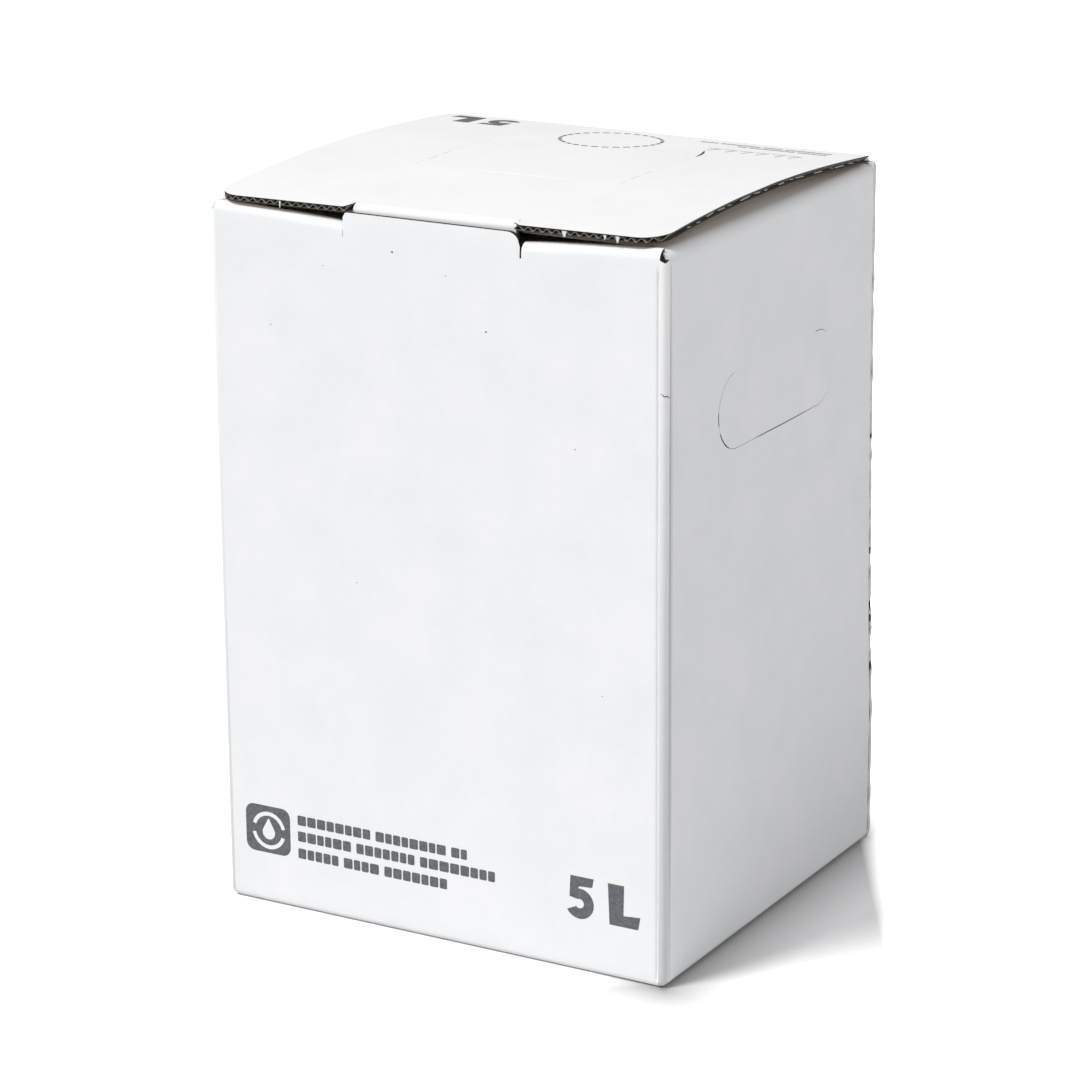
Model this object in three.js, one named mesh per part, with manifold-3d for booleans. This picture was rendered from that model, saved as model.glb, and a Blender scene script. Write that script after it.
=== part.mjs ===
// A bag-in-box for five litres of oil: a corrugated carton with a tuck-in lid, and inside it
// a sealed bag with its press tap. Millimetres, +Z up. The origin is the middle of the underside.
// The front wall, with the lip that the lid tucks behind, faces -Y.
import * as THREE from "three";
import { mergeVertices } from "three/addons/utils/BufferGeometryUtils.js";
import Module from "manifold-3d";

const wasm = await Module();
wasm.setup();

// Driving dimensions of the carton
const width = 168; // outside, left to right
const depth = 156; // outside, front to rear
const lipHeight = 243; // floor to the top of the lip
const board = 2; // thickness of the corrugated board
const cornerRadius = 3; // outside of the upright folds
const baseRadius = 2.4; // outside of the folds round the underside
const layerGap = 0.3; // between two folded layers that lie on each other
const flapDrop = 2; // top of the front flap below the top of the lip
const frontRoll = 6; // outside radius where the front wall rolls over into its flap
const frontFlapLength = 50; // from the front wall's outside inwards
const dustFlapLength = 55; // from the side wall's outside inwards
const frontRollRelief = 4.5; // front roll's ends short of the outside of the side walls
const frontFlapRelief = 9; // front flap's ends behind its roll, short of the same outside
const sideRollRelief = 2.5; // side rolls' ends short of the outside of the front and rear walls
const dustFlapRelief = 8; // dust flaps' ends short of the outside of the front and rear walls
const cornerDrop = 3.5; // tops of the corner folds below the top of the lip
const glueTabLength = 35;
const glueEdgeStep = 0.6; // rear wall's raw edge short of the outside of the side wall
const baseSeam = 1; // slot between the two outer bottom flaps
const innerBaseGap = 12; // between the two inner bottom flaps

// Driving dimensions of the lip, the tongue and the lid
const lipWidth = 65;
const lipCornerRadius = 2.5;
const lipSlit = 0.6; // knife slit at each side of the lip
const slotDepth = 5; // slot behind the lip that the tongue goes down through
const tongueWidth = 60;
const tongueLength = 22;
const tongueLean = 1.9; // the tongue's foot leans this far inwards
const tongueRoll = 2.5; // outside radius where the lid rolls down into the tongue
const lidWidth = 164;
const lidFrontInset = 0.3; // lid's front edge behind the outside of the front wall
const lidCornerRadius = 9;
const lidCrown = 3.6; // the lid is pushed up this far in the middle
const lidSpring = 1.7; // the front right corner stands up this much more
const crownSteps = 26;

// Driving dimensions of the flutes that show in the lid's front cut edges
const flutePitch = 3.3;
const fluteOpenDepth = 3;
const liner = 0.28;
const fluteWeb = 0.3;

// Driving dimensions of the tap door that is cut into the lid, and of the hand holds
const doorWidth = 76;
const doorSideLength = 51;
const doorHookLength = 18;
const doorHookStart = 13; // open cut's start in front of the tap's axis
const doorHookTurn = 0.11;
const dashes = 6; // along each side of the door
const dashSpace = 3;
const knifeWidth = 0.5;
const handLength = 85;
const handHeight = 25.5;
const handBottom = 169;
const handCreaseBand = 1; // left uncut along the top, where the flap folds

// Driving dimensions of the bag and its tap
const bagHeadroom = 29.7; // top of the lip to the top of the bag
const bagRadius = 12;
const bagGap = 0.4; // bag to the walls that it fills
const restGap = 0.3; // between pieces that sit on each other
const tapFromRear = 39; // the tap stands this far inside the outside of the rear wall
const dishRadius = 27;
const dishSlope = 8;
const dishDepth = 6;
const bagFaceEdge = 1; // corner radius left round the flat top of the bag
const flangeRadius = 22;
const flangeThickness = 1.5;
const neckRadius = 12.5;
const neckBore = 10;
const neckHeight = 11;
const collarRadius = 16;
const collarRoof = 1.6;
const barrelRadius = 8.5;
const barrelBore = 6.2;
const barrelFront = 19; // barrel's button end in front of the neck's axis
const barrelRear = 24; // barrel's outlet end behind the neck's axis
const portRadius = 4.5;
const seatBore = 4.4;
const seatStart = 12; // valve seat behind the neck's axis
const seatLength = 2;
const wingSpan = 46;
const wingLength = 7;
const wingThickness = 3;
const wingInset = 1; // wings behind the barrel's front end
const buttonStand = 6; // button's face in front of the barrel
const buttonTravel = 4;
const buttonCap = 1.6;
const buttonChamfer = 1;
const stemRadius = 1.8;
const plugRadius = 5.4; // wider than the seat's bore, narrower than the barrel's
const plugThickness = 1.6;
const plugTaper = 1;
const capWall = 1.2;
const capGrip = 7; // how far the dust cap reaches over the outlet
const ringRadius = 0.9; // section of the seal ring on the neck

// Heights and faces that follow
const halfWidth = width / 2;
const halfDepth = depth / 2;
const innerX = halfWidth - board;
const innerY = halfDepth - board;
const frontFlapTop = lipHeight - flapDrop;
const wallTop = frontFlapTop - frontRoll;
const dustFlapTop = lipHeight - layerGap;
const sideRoll = dustFlapTop - wallTop;
const floorTop = 2 * board;
const lidTop = lipHeight + board;
const lidFrontY = -halfDepth + lidFrontInset;
const tapY = halfDepth - tapFromRear;
const doorRearY = tapY - doorHookStart;
const doorFrontY = doorRearY - doorSideLength;
const lipInnerY = -halfDepth + board;
const tongueY = lipInnerY + layerGap;
const slotRearY = lipInnerY + slotDepth;
const halfLip = lipWidth / 2;
const halfTongue = tongueWidth / 2;
const beyond = 10; // how far a cutter reaches past what it cuts

// Builds a solid from a closed geometry.
function solidFrom(geometry) {
  const bare = new THREE.BufferGeometry();
  bare.setAttribute("position", geometry.getAttribute("position"));
  if (geometry.index) bare.setIndex(geometry.index);
  const merged = mergeVertices(bare, 1e-4);
  const vertProperties = merged.attributes.position.array;
  const triVerts = new Uint32Array(merged.index.array);
  return new wasm.Manifold(new wasm.Mesh({ numProp: 3, vertProperties, triVerts }));
}

// The closed geometry of a solid.
function geometryOf(solid) {
  const found = solid.getMesh();
  const geometry = new THREE.BufferGeometry();
  geometry.setAttribute("position", new THREE.BufferAttribute(found.vertProperties, 3));
  geometry.setIndex(new THREE.BufferAttribute(found.triVerts, 1));
  return geometry;
}

// Moves each point of a solid up or down to the height that heightAt gives.
function reshaped(solid, heightAt) {
  const geometry = geometryOf(solid);
  const points = geometry.getAttribute("position");
  for (let i = 0; i < points.count; i += 1) {
    points.setZ(i, heightAt(points.getX(i), points.getY(i), points.getZ(i)));
  }
  return solidFrom(geometry);
}

// Turns a solid into a named mesh.
function meshOf(name, solid, material) {
  const geometry = geometryOf(solid);
  geometry.computeVertexNormals();
  const mesh = new THREE.Mesh(geometry, material);
  mesh.name = name;
  return mesh;
}

// A block between two corners.
function block([x0, y0, z0], [x1, y1, z1]) {
  const geometry = new THREE.BoxGeometry(x1 - x0, y1 - y0, z1 - z0);
  geometry.translate((x0 + x1) / 2, (y0 + y1) / 2, (z0 + z1) / 2);
  return solidFrom(geometry);
}

// An outline in (y, z), extruded along X.
function alongX(outline, x0, x1, curveSegments = 12) {
  const geometry = new THREE.ExtrudeGeometry(outline, { depth: x1 - x0, bevelEnabled: false, curveSegments });
  const across = new THREE.Vector3(0, 1, 0);
  const up = new THREE.Vector3(0, 0, 1);
  const along = new THREE.Vector3(1, 0, 0);
  geometry.applyMatrix4(new THREE.Matrix4().makeBasis(across, up, along));
  geometry.translate(x0, 0, 0);
  return solidFrom(geometry);
}

// An outline in (x, z), extruded along Y.
function alongY(outline, y0, y1, curveSegments = 12) {
  const geometry = new THREE.ExtrudeGeometry(outline, { depth: y1 - y0, bevelEnabled: false, curveSegments });
  geometry.rotateX(Math.PI / 2);
  geometry.translate(0, y1, 0);
  return solidFrom(geometry);
}

// An outline in (x, y), extruded along Z.
function alongZ(outline, z0, z1, curveSegments = 6) {
  const geometry = new THREE.ExtrudeGeometry(outline, { depth: z1 - z0, bevelEnabled: false, curveSegments });
  geometry.translate(0, 0, z0);
  return solidFrom(geometry);
}

// A profile of (radius, height) points turned about the upright line through x, y.
function turnedUpright(profile, x, y, segments = 36) {
  const points = profile.map(([radius, height]) => new THREE.Vector2(radius, height));
  const geometry = new THREE.LatheGeometry(points, segments);
  geometry.rotateX(Math.PI / 2);
  geometry.translate(x, y, 0);
  return solidFrom(geometry);
}

// A profile of (radius, y) points turned about a line along Y at the height z.
function turnedLevel(profile, z, segments = 32) {
  const points = profile.map(([radius, y]) => new THREE.Vector2(radius, y));
  const geometry = new THREE.LatheGeometry(points, segments);
  geometry.translate(0, 0, z);
  return solidFrom(geometry);
}

function shapeOf(points) {
  return new THREE.Shape(points.map(([x, y]) => new THREE.Vector2(x, y)));
}

function cylinderProfile(radius, start, end) {
  return [[0, start], [radius, start], [radius, end], [0, end]];
}

function joined(solids) {
  return solids.reduce((whole, piece) => whole.add(piece));
}

// Outside of the four walls, seen from above. At the rear right corner the side wall turns
// into the glue tab, and the rear wall ends in a raw edge on top of it.
function wallOutline() {
  const r = cornerRadius;
  const outline = new THREE.Shape();
  outline.moveTo(-halfWidth + r, -halfDepth);
  outline.lineTo(halfWidth - r, -halfDepth);
  outline.absarc(halfWidth - r, -halfDepth + r, r, -Math.PI / 2, 0, false);
  outline.lineTo(halfWidth, innerY - board);
  outline.absarc(halfWidth - board, innerY - board, board, 0, Math.PI / 2, false);
  outline.lineTo(halfWidth - glueEdgeStep, innerY);
  outline.lineTo(halfWidth - glueEdgeStep, halfDepth);
  outline.lineTo(-halfWidth + r, halfDepth);
  outline.absarc(-halfWidth + r, halfDepth - r, r, Math.PI / 2, Math.PI, false);
  outline.lineTo(-halfWidth, -halfDepth + r);
  outline.absarc(-halfWidth + r, -halfDepth + r, r, Math.PI, 1.5 * Math.PI, false);
  return outline;
}

// Inside of the four walls, with the glue tab as a second layer at the rear right.
function innerOutline() {
  const r = cornerRadius - board;
  const tabX = innerX - glueTabLength;
  const outline = new THREE.Shape();
  outline.moveTo(-innerX + r, -innerY);
  outline.lineTo(innerX - r, -innerY);
  outline.absarc(innerX - r, -innerY + r, r, -Math.PI / 2, 0, false);
  outline.lineTo(innerX, innerY - board);
  outline.lineTo(tabX, innerY - board);
  outline.lineTo(tabX, innerY);
  outline.lineTo(-innerX + r, innerY);
  outline.absarc(-innerX + r, innerY - r, r, Math.PI / 2, Math.PI, false);
  outline.lineTo(-innerX, -innerY + r);
  outline.absarc(-innerX + r, -innerY + r, r, Math.PI, 1.5 * Math.PI, false);
  return outline;
}

// A wall that rolls over into a flap: an outline from the wall's top, over the roll, to the
// flap's free end. The wall's outside is at `outside`, and `inward` is +1 or -1.
function rollOutline(outside, inward, radius, reach) {
  const centre = outside + inward * radius;
  const end = outside + inward * reach;
  const steps = 8;
  const outer = [];
  const inner = [];
  for (let i = 0; i <= steps; i += 1) {
    const angle = ((Math.PI / 2) * i) / steps;
    const across = inward * Math.cos(angle);
    outer.push([centre - across * radius, wallTop + Math.sin(angle) * radius]);
    inner.push([centre - across * (radius - board), wallTop + Math.sin(angle) * (radius - board)]);
  }
  const top = wallTop + radius;
  const flap = reach > radius ? [[end, top], [end, top - board]] : [];
  return shapeOf([...outer, ...flap, ...inner.reverse()]);
}

// Blocks beyond both ends of a flap, which is narrower than its roll.
function flapEnds(halfSpan, startY, endY) {
  const low = wallTop - beyond;
  const high = lipHeight + beyond;
  const left = block([-halfWidth - beyond, startY, low], [-halfSpan, endY, high]);
  const right = block([halfSpan, startY, low], [halfWidth + beyond, endY, high]);
  return left.add(right);
}

// The front wall's roll and its folded-in flap, without the part that the lip is cut from.
function frontFlap() {
  const halfRoll = halfWidth - frontRollRelief;
  const flap = alongX(rollOutline(-halfDepth, 1, frontRoll, frontFlapLength), -halfRoll, halfRoll);
  const ends = flapEnds(halfWidth - frontFlapRelief, -halfDepth + frontRoll, innerY);
  const opening = halfLip + lipSlit;
  const slot = block([-opening, -halfDepth - beyond, wallTop], [opening, slotRearY, lipHeight + beyond]);
  return flap.subtract(ends).subtract(slot);
}

// A dust flap, which lies on the front flap and springs up under the lid; side is -1 at the
// left and 1 at the right. It is made in short lengths, so that it can follow the lid's crown.
function dustFlap(side) {
  const rollEnd = halfDepth - sideRollRelief;
  const flapEnd = halfDepth - dustFlapRelief;
  const rollOnly = rollOutline(side * halfWidth, -side, sideRoll, sideRoll);
  const whole = rollOutline(side * halfWidth, -side, sideRoll, dustFlapLength);
  const pieces = [alongY(rollOnly, -rollEnd, -flapEnd), alongY(rollOnly, flapEnd, rollEnd)];
  const step = (2 * flapEnd) / crownSteps;
  for (let i = 0; i < crownSteps; i += 1) {
    const y = -flapEnd + i * step;
    pieces.push(alongY(whole, y, y + step));
  }
  const risen = (x, y, z) => z + Math.min((z - wallTop) / (sideRoll - board), 1) * lidRise(y);
  return joined(pieces.map((piece) => reshaped(piece, risen)));
}

// The four upright folds end a little lower than the lip.
function cornerFolds() {
  const ring = wallOutline();
  ring.holes.push(innerOutline());
  const x = halfWidth - frontRollRelief;
  const y = halfDepth - sideRollRelief;
  const high = lipHeight - cornerDrop;
  const folds = alongZ(ring, wallTop - board, high);
  const across = block([-x, -halfDepth - beyond, 0], [x, halfDepth + beyond, lipHeight]);
  const along = block([-halfWidth - beyond, -y, 0], [halfWidth + beyond, y, lipHeight]);
  return folds.subtract(across).subtract(along);
}

// The lip stands up from the front wall in front of the lid's tongue.
function lip() {
  const r = lipCornerRadius;
  const outline = new THREE.Shape();
  outline.moveTo(-halfLip, wallTop - board);
  outline.lineTo(halfLip, wallTop - board);
  outline.lineTo(halfLip, lipHeight - r);
  outline.absarc(halfLip - r, lipHeight - r, r, 0, Math.PI / 2, false);
  outline.lineTo(-halfLip + r, lipHeight);
  outline.absarc(-halfLip + r, lipHeight - r, r, Math.PI / 2, Math.PI, false);
  return alongY(outline, -halfDepth, lipInnerY);
}

// Two layers of bottom flaps: the outer pair meets at a seam, the inner pair stops short of it.
function bottom() {
  const plate = alongZ(wallOutline(), 0, floorTop);
  const pastX = halfWidth + beyond;
  const seam = block([-pastX, -baseSeam / 2, -beyond], [pastX, baseSeam / 2, board]);
  const inner = block([-innerBaseGap / 2, -innerY, board], [innerBaseGap / 2, innerY, floorTop + beyond]);
  return plate.subtract(seam).subtract(inner);
}

// Cuts a profile with rounded lower corners, for the folds round the underside.
function roundedFoot(half) {
  const r = baseRadius;
  const top = lipHeight + beyond;
  const outline = new THREE.Shape();
  outline.moveTo(-half + r, 0);
  outline.lineTo(half - r, 0);
  outline.absarc(half - r, r, r, -Math.PI / 2, 0, false);
  outline.lineTo(half, top);
  outline.lineTo(-half, top);
  outline.lineTo(-half, r);
  outline.absarc(-half + r, r, r, Math.PI, 1.5 * Math.PI, false);
  return outline;
}

// A stadium in (y, z), for the knife line of the hand hold.
function stadium(radius) {
  const reach = (handLength - handHeight) / 2;
  const middle = handBottom + handHeight / 2;
  const outline = new THREE.Shape();
  outline.moveTo(-reach, middle - radius);
  outline.lineTo(reach, middle - radius);
  outline.absarc(reach, middle, radius, -Math.PI / 2, Math.PI / 2, false);
  outline.lineTo(-reach, middle + radius);
  outline.absarc(-reach, middle, radius, Math.PI / 2, 1.5 * Math.PI, false);
  return outline;
}

// The hand holds in both side walls: cut along the bottom and round both ends, and still shut.
function handKnife() {
  const radius = handHeight / 2;
  const reach = (handLength - handHeight) / 2;
  const handTop = handBottom + handHeight;
  const outer = alongX(stadium(radius), -halfWidth - beyond, halfWidth + beyond);
  const inner = alongX(stadium(radius - knifeWidth), -halfWidth - 2 * beyond, halfWidth + 2 * beyond);
  const crease = block(
    [-halfWidth - 2 * beyond, -reach, handTop - handCreaseBand],
    [halfWidth + 2 * beyond, reach, handTop + beyond],
  );
  return outer.subtract(inner).subtract(crease);
}

function carton() {
  const outline = wallOutline();
  outline.holes.push(innerOutline());
  const walls = alongZ(outline, 0, wallTop);
  const rearTop = block([-innerX, innerY, wallTop - board], [innerX, halfDepth, lipHeight - layerGap]);
  const flaps = [frontFlap(), dustFlap(-1), dustFlap(1)];
  const sheet = joined([walls, cornerFolds(), bottom(), rearTop, lip(), ...flaps]);
  const footX = alongX(roundedFoot(halfDepth), -halfWidth - beyond, halfWidth + beyond);
  const footY = alongY(roundedFoot(halfWidth), -halfDepth - beyond, halfDepth + beyond);
  return sheet.intersect(footX).intersect(footY).subtract(handKnife());
}

// How far the lid is pushed up: most in the middle, and not at the front or at the hinge.
function lidRise(y) {
  const along = (y - lidFrontY) / (halfDepth - lidFrontY);
  return lidCrown * Math.sin(Math.PI * along);
}

function lidFace(y) {
  return lidTop + lidRise(y);
}

// The lid's section in (y, z) from the hinge to startY, as upper and lower points.
function crownPoints(startY) {
  const upper = [];
  const lower = [];
  for (let i = 0; i <= crownSteps; i += 1) {
    const y = startY + ((halfDepth - startY) * i) / crownSteps;
    upper.push([y, lidFace(y)]);
    lower.push([y, lidFace(y) - board]);
  }
  return { upper, lower };
}

// The lid's panel, seen from above: rounded front corners, and a notch for the tongue's roll.
function lidPanel() {
  const half = lidWidth / 2;
  const r = lidCornerRadius;
  const { upper, lower } = crownPoints(lidFrontY);
  const arch = alongX(shapeOf([...lower, ...upper.reverse()]), -half, half);
  const plan = new THREE.Shape();
  plan.moveTo(-half, halfDepth);
  plan.lineTo(-half, lidFrontY + r);
  plan.absarc(-half + r, lidFrontY + r, r, Math.PI, 1.5 * Math.PI, false);
  plan.lineTo(-halfLip, lidFrontY);
  plan.lineTo(-halfLip, slotRearY);
  plan.lineTo(halfLip, slotRearY);
  plan.lineTo(halfLip, lidFrontY);
  plan.lineTo(half - r, lidFrontY);
  plan.absarc(half - r, lidFrontY + r, r, 1.5 * Math.PI, 2 * Math.PI, false);
  plan.lineTo(half, halfDepth);
  return arch.intersect(alongZ(plan, wallTop, lidTop + lidCrown + beyond));
}

// The middle of the lid with its tongue, which rolls down and leans away from the lip.
function lidTongue() {
  const rollY = tongueY + tongueRoll;
  const { upper, lower } = crownPoints(rollY);
  const rollTop = lidFace(rollY);
  const rollCentreZ = rollTop - tongueRoll;
  const footZ = lipHeight - tongueLength;
  const steps = 6;
  const outer = [];
  const inner = [];
  for (let i = 1; i <= steps; i += 1) {
    const angle = ((Math.PI / 2) * i) / steps;
    outer.push([rollY - tongueRoll * Math.sin(angle), rollCentreZ + tongueRoll * Math.cos(angle)]);
    const bend = tongueRoll - board;
    inner.push([rollY - bend * Math.sin(angle), rollCentreZ + bend * Math.cos(angle)]);
  }
  const foot = [[tongueY + tongueLean, footZ], [tongueY + tongueLean + board, footZ]];
  const points = [...upper.reverse(), ...outer, ...foot, ...inner.reverse(), ...lower];
  return alongX(shapeOf(points.reverse()), -halfTongue, halfTongue);
}

// The open ends of the flutes in the lid's front cut edges: slopes of the wavy layer leave
// a three-sided pocket under the upper liner, then one over the lower liner, and so on.
function flutePockets() {
  const high = lidTop - liner;
  const low = lidTop - board + liner;
  const halfPocket = (flutePitch - fluteWeb) / 2;
  const first = halfLip + flutePitch;
  const last = lidWidth / 2 - lidCornerRadius + flutePitch;
  const rearY = lidFrontY + fluteOpenDepth;
  const pockets = [];
  for (let x = first; x < last; x += flutePitch / 2) {
    const turn = pockets.length % 4 === 0;
    const [base, tip] = turn ? [high, low] : [low, high];
    const pocket = [[x - halfPocket, base], [x + halfPocket, base], [x, tip]];
    for (const side of [-1, 1]) {
      const points = pocket.map(([px, pz]) => [side * px, pz]);
      const facing = turn === (side === 1) ? points.reverse() : points;
      pockets.push(alongY(shapeOf(facing), lidFrontY - beyond, rearY));
    }
  }
  return joined(pockets);
}

// Knife lines of the tap door: dashes along both sides, and one open cut at the right.
function doorKnife() {
  const half = doorWidth / 2;
  const low = lidTop - board - beyond;
  const high = lidTop + lidCrown + beyond;
  const cuts = [];
  const pitch = (doorSideLength + dashSpace) / dashes;
  for (const x of [-half, half]) {
    for (let i = 0; i < dashes; i += 1) {
      const y = doorFrontY + i * pitch;
      const end = y + pitch - dashSpace;
      cuts.push(block([x - knifeWidth / 2, y, low], [x + knifeWidth / 2, end, high]));
    }
  }
  const hook = new THREE.BoxGeometry(knifeWidth, doorHookLength, high - low);
  hook.translate(0, doorHookLength / 2, (high + low) / 2);
  hook.rotateZ(doorHookTurn);
  hook.translate(half, doorRearY, 0);
  cuts.push(solidFrom(hook));
  return joined(cuts);
}

// Lifts the lid towards its front right corner, as if it had sprung up there.
function sprung(x, y, z) {
  const rightwards = (x + lidWidth / 2) / lidWidth;
  const forwards = (halfDepth - y) / depth;
  return z + lidSpring * rightwards * forwards;
}

function lid() {
  const whole = lidPanel().add(lidTongue());
  return reshaped(whole.subtract(flutePockets()).subtract(doorKnife()), sprung);
}

// Heights of the bag and of the tap that stands in its dish
const bagBottom = floorTop + restGap;
const bagTop = lipHeight - bagHeadroom;
const dishFloor = bagTop - dishDepth;
const flangeBottom = dishFloor + restGap;
const flangeTop = flangeBottom + flangeThickness;
const neckTop = flangeTop + neckHeight;
const collarBottom = flangeTop + 2 * ringRadius + 2 * restGap;
const collarInside = neckTop + restGap;
const collarTop = collarInside + collarRoof;
const barrelZ = collarTop + barrelRadius - collarRoof;

// A block with all twelve edges and eight corners rounded, from an extruded rounded plan
// whose bevels make the top and bottom edges.
function pillow(halfX, halfY, bottomZ, topZ, radius) {
  const reachX = halfX - radius;
  const reachY = halfY - radius;
  const plan = new THREE.Shape();
  plan.moveTo(-reachX, -halfY);
  plan.lineTo(reachX, -halfY);
  plan.absarc(reachX, -reachY, radius, -Math.PI / 2, 0, false);
  plan.absarc(reachX, reachY, radius, 0, Math.PI / 2, false);
  plan.absarc(-reachX, reachY, radius, Math.PI / 2, Math.PI, false);
  plan.absarc(-reachX, -reachY, radius, Math.PI, 1.5 * Math.PI, false);
  const geometry = new THREE.ExtrudeGeometry(plan, {
    depth: topZ - bottomZ - 2 * radius,
    bevelThickness: radius,
    bevelSize: radius - bagFaceEdge,
    bevelOffset: bagFaceEdge - radius,
    bevelSegments: 5,
    curveSegments: 6,
  });
  geometry.translate(0, 0, bottomZ + radius);
  return solidFrom(geometry);
}

// The filled bag takes the shape of the carton, with a dish where the tap lies.
function oilBag() {
  const halfX = innerX - bagGap;
  const frontY = -innerY + bagGap;
  const rearY = innerY - board - bagGap;
  const bag = pillow(halfX, (rearY - frontY) / 2, bagBottom, bagTop, bagRadius);
  const placed = bag.translate([0, (rearY + frontY) / 2, 0]);
  const rimRadius = dishRadius + dishSlope;
  const dish = [[0, dishFloor], [dishRadius, dishFloor], [rimRadius, bagTop], [rimRadius, bagTop + beyond]];
  dish.push([0, bagTop + beyond]);
  return placed.subtract(turnedUpright(dish, 0, tapY));
}

// The gland is welded into the bag's film by its flange.
function bagGland() {
  const profile = [
    [neckBore, flangeBottom],
    [flangeRadius, flangeBottom],
    [flangeRadius, flangeTop],
    [neckRadius, flangeTop],
    [neckRadius, neckTop],
    [neckBore, neckTop],
    [neckBore, flangeBottom],
  ];
  return turnedUpright(profile, 0, tapY);
}

// The seal ring lies on the flange, round the neck and under the collar.
function sealRing() {
  const middle = neckRadius + restGap + ringRadius;
  const centreZ = flangeTop + restGap + ringRadius;
  const points = [];
  const sides = 10;
  for (let i = 0; i <= sides; i += 1) {
    const angle = (2 * Math.PI * (i % sides)) / sides;
    points.push([middle + ringRadius * Math.cos(angle), centreZ + ringRadius * Math.sin(angle)]);
  }
  return turnedUpright(points, 0, tapY);
}

// The tap's body: a collar over the neck, a level barrel, a valve seat and two finger wings.
function tapBody() {
  const startY = tapY - barrelFront;
  const endY = tapY + barrelRear;
  const seatY = tapY + seatStart;
  const seatEndY = seatY + seatLength;
  const collar = turnedUpright(cylinderProfile(collarRadius, collarBottom, collarTop), 0, tapY);
  const barrel = turnedLevel(cylinderProfile(barrelRadius, startY, endY), barrelZ);
  const wings = block(
    [-wingSpan / 2, startY + wingInset, barrelZ - wingThickness / 2],
    [wingSpan / 2, startY + wingInset + wingLength, barrelZ + wingThickness / 2],
  );
  const neckRoom = cylinderProfile(neckRadius + restGap, collarBottom - beyond, collarInside);
  const port = cylinderProfile(portRadius, neckTop, barrelZ);
  const bores = [
    turnedUpright(neckRoom, 0, tapY),
    turnedUpright(port, 0, tapY),
    turnedLevel(cylinderProfile(barrelBore, startY - beyond, seatY), barrelZ),
    turnedLevel(cylinderProfile(seatBore, seatY - seatLength, seatEndY + seatLength), barrelZ),
    turnedLevel(cylinderProfile(barrelBore, seatEndY, endY + beyond), barrelZ),
  ];
  return joined([collar, barrel, wings]).subtract(joined(bores));
}

// The button's soft skirt closes the barrel's end, and its face is pressed with the thumb.
function tapButton() {
  const startY = tapY - barrelFront;
  const radius = barrelBore - restGap;
  const faceY = startY - buttonStand;
  const skirtY = startY + buttonTravel;
  const profile = [
    [0, faceY],
    [radius - buttonChamfer, faceY],
    [radius, faceY + buttonChamfer],
    [radius, skirtY],
    [radius - buttonCap, skirtY],
    [radius - buttonCap, faceY + buttonCap],
    [0, faceY + buttonCap],
  ];
  return turnedLevel(profile, barrelZ);
}

// The stem runs from the button through the seat to the plug behind it.
function tapStem() {
  const frontY = tapY - barrelFront - buttonStand + buttonCap + restGap;
  const plugY = tapY + seatStart + seatLength + restGap;
  const profile = [
    [0, frontY],
    [stemRadius, frontY],
    [stemRadius, plugY],
    [plugRadius, plugY],
    [plugRadius - plugTaper, plugY + plugThickness],
    [0, plugY + plugThickness],
  ];
  return turnedLevel(profile, barrelZ);
}

// The dust cap is pushed over the outlet.
function dustCap() {
  const mouthY = tapY + barrelRear - capGrip;
  const insideY = tapY + barrelRear + restGap;
  const inside = barrelRadius + restGap;
  const profile = [
    [inside, mouthY],
    [inside + capWall, mouthY],
    [inside + capWall, insideY + capWall],
    [0, insideY + capWall],
    [0, insideY],
    [inside, insideY],
    [inside, mouthY],
  ];
  return turnedLevel(profile, barrelZ);
}

// Materials
const whiteBoard = new THREE.MeshStandardMaterial({ color: 0xe9eaec, roughness: 0.78, metalness: 0 });
const lidBoard = new THREE.MeshStandardMaterial({ color: 0xf1f1f1, roughness: 0.78, metalness: 0 });
const film = new THREE.MeshStandardMaterial({ color: 0xd9c98a, roughness: 0.25, metalness: 0 });
const glandPlastic = new THREE.MeshStandardMaterial({ color: 0xf2f2ef, roughness: 0.45, metalness: 0 });
const tapPlastic = new THREE.MeshStandardMaterial({ color: 0xe6e6e2, roughness: 0.4, metalness: 0 });
const sealRubber = new THREE.MeshStandardMaterial({ color: 0x2c2c2e, roughness: 0.7, metalness: 0 });
const buttonPlastic = new THREE.MeshStandardMaterial({ color: 0xb3261e, roughness: 0.5, metalness: 0 });
const stemPlastic = new THREE.MeshStandardMaterial({ color: 0xd8d8d4, roughness: 0.5, metalness: 0 });
const capPlastic = new THREE.MeshStandardMaterial({ color: 0xc9cbcd, roughness: 0.45, metalness: 0 });

// The tap is a group of its own inside the box.
const tap = new THREE.Group();
tap.add(
  meshOf("tap_body", tapBody(), tapPlastic),
  meshOf("tap_button", tapButton(), buttonPlastic),
  meshOf("tap_stem", tapStem(), stemPlastic),
  meshOf("tap_dust_cap", dustCap(), capPlastic),
);

const bagInBox = new THREE.Group();
bagInBox.add(
  meshOf("carton", carton(), whiteBoard),
  meshOf("lid", lid(), lidBoard),
  meshOf("oil_bag", oilBag(), film),
  meshOf("bag_gland", bagGland(), glandPlastic),
  meshOf("seal_ring", sealRing(), sealRubber),
  tap,
);

export default bagInBox;
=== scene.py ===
import random
from math import atan2, ceil, copysign, cos, degrees, exp, hypot, pi, radians, sin, sqrt

import bpy
from mathutils import Matrix, Vector


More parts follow.
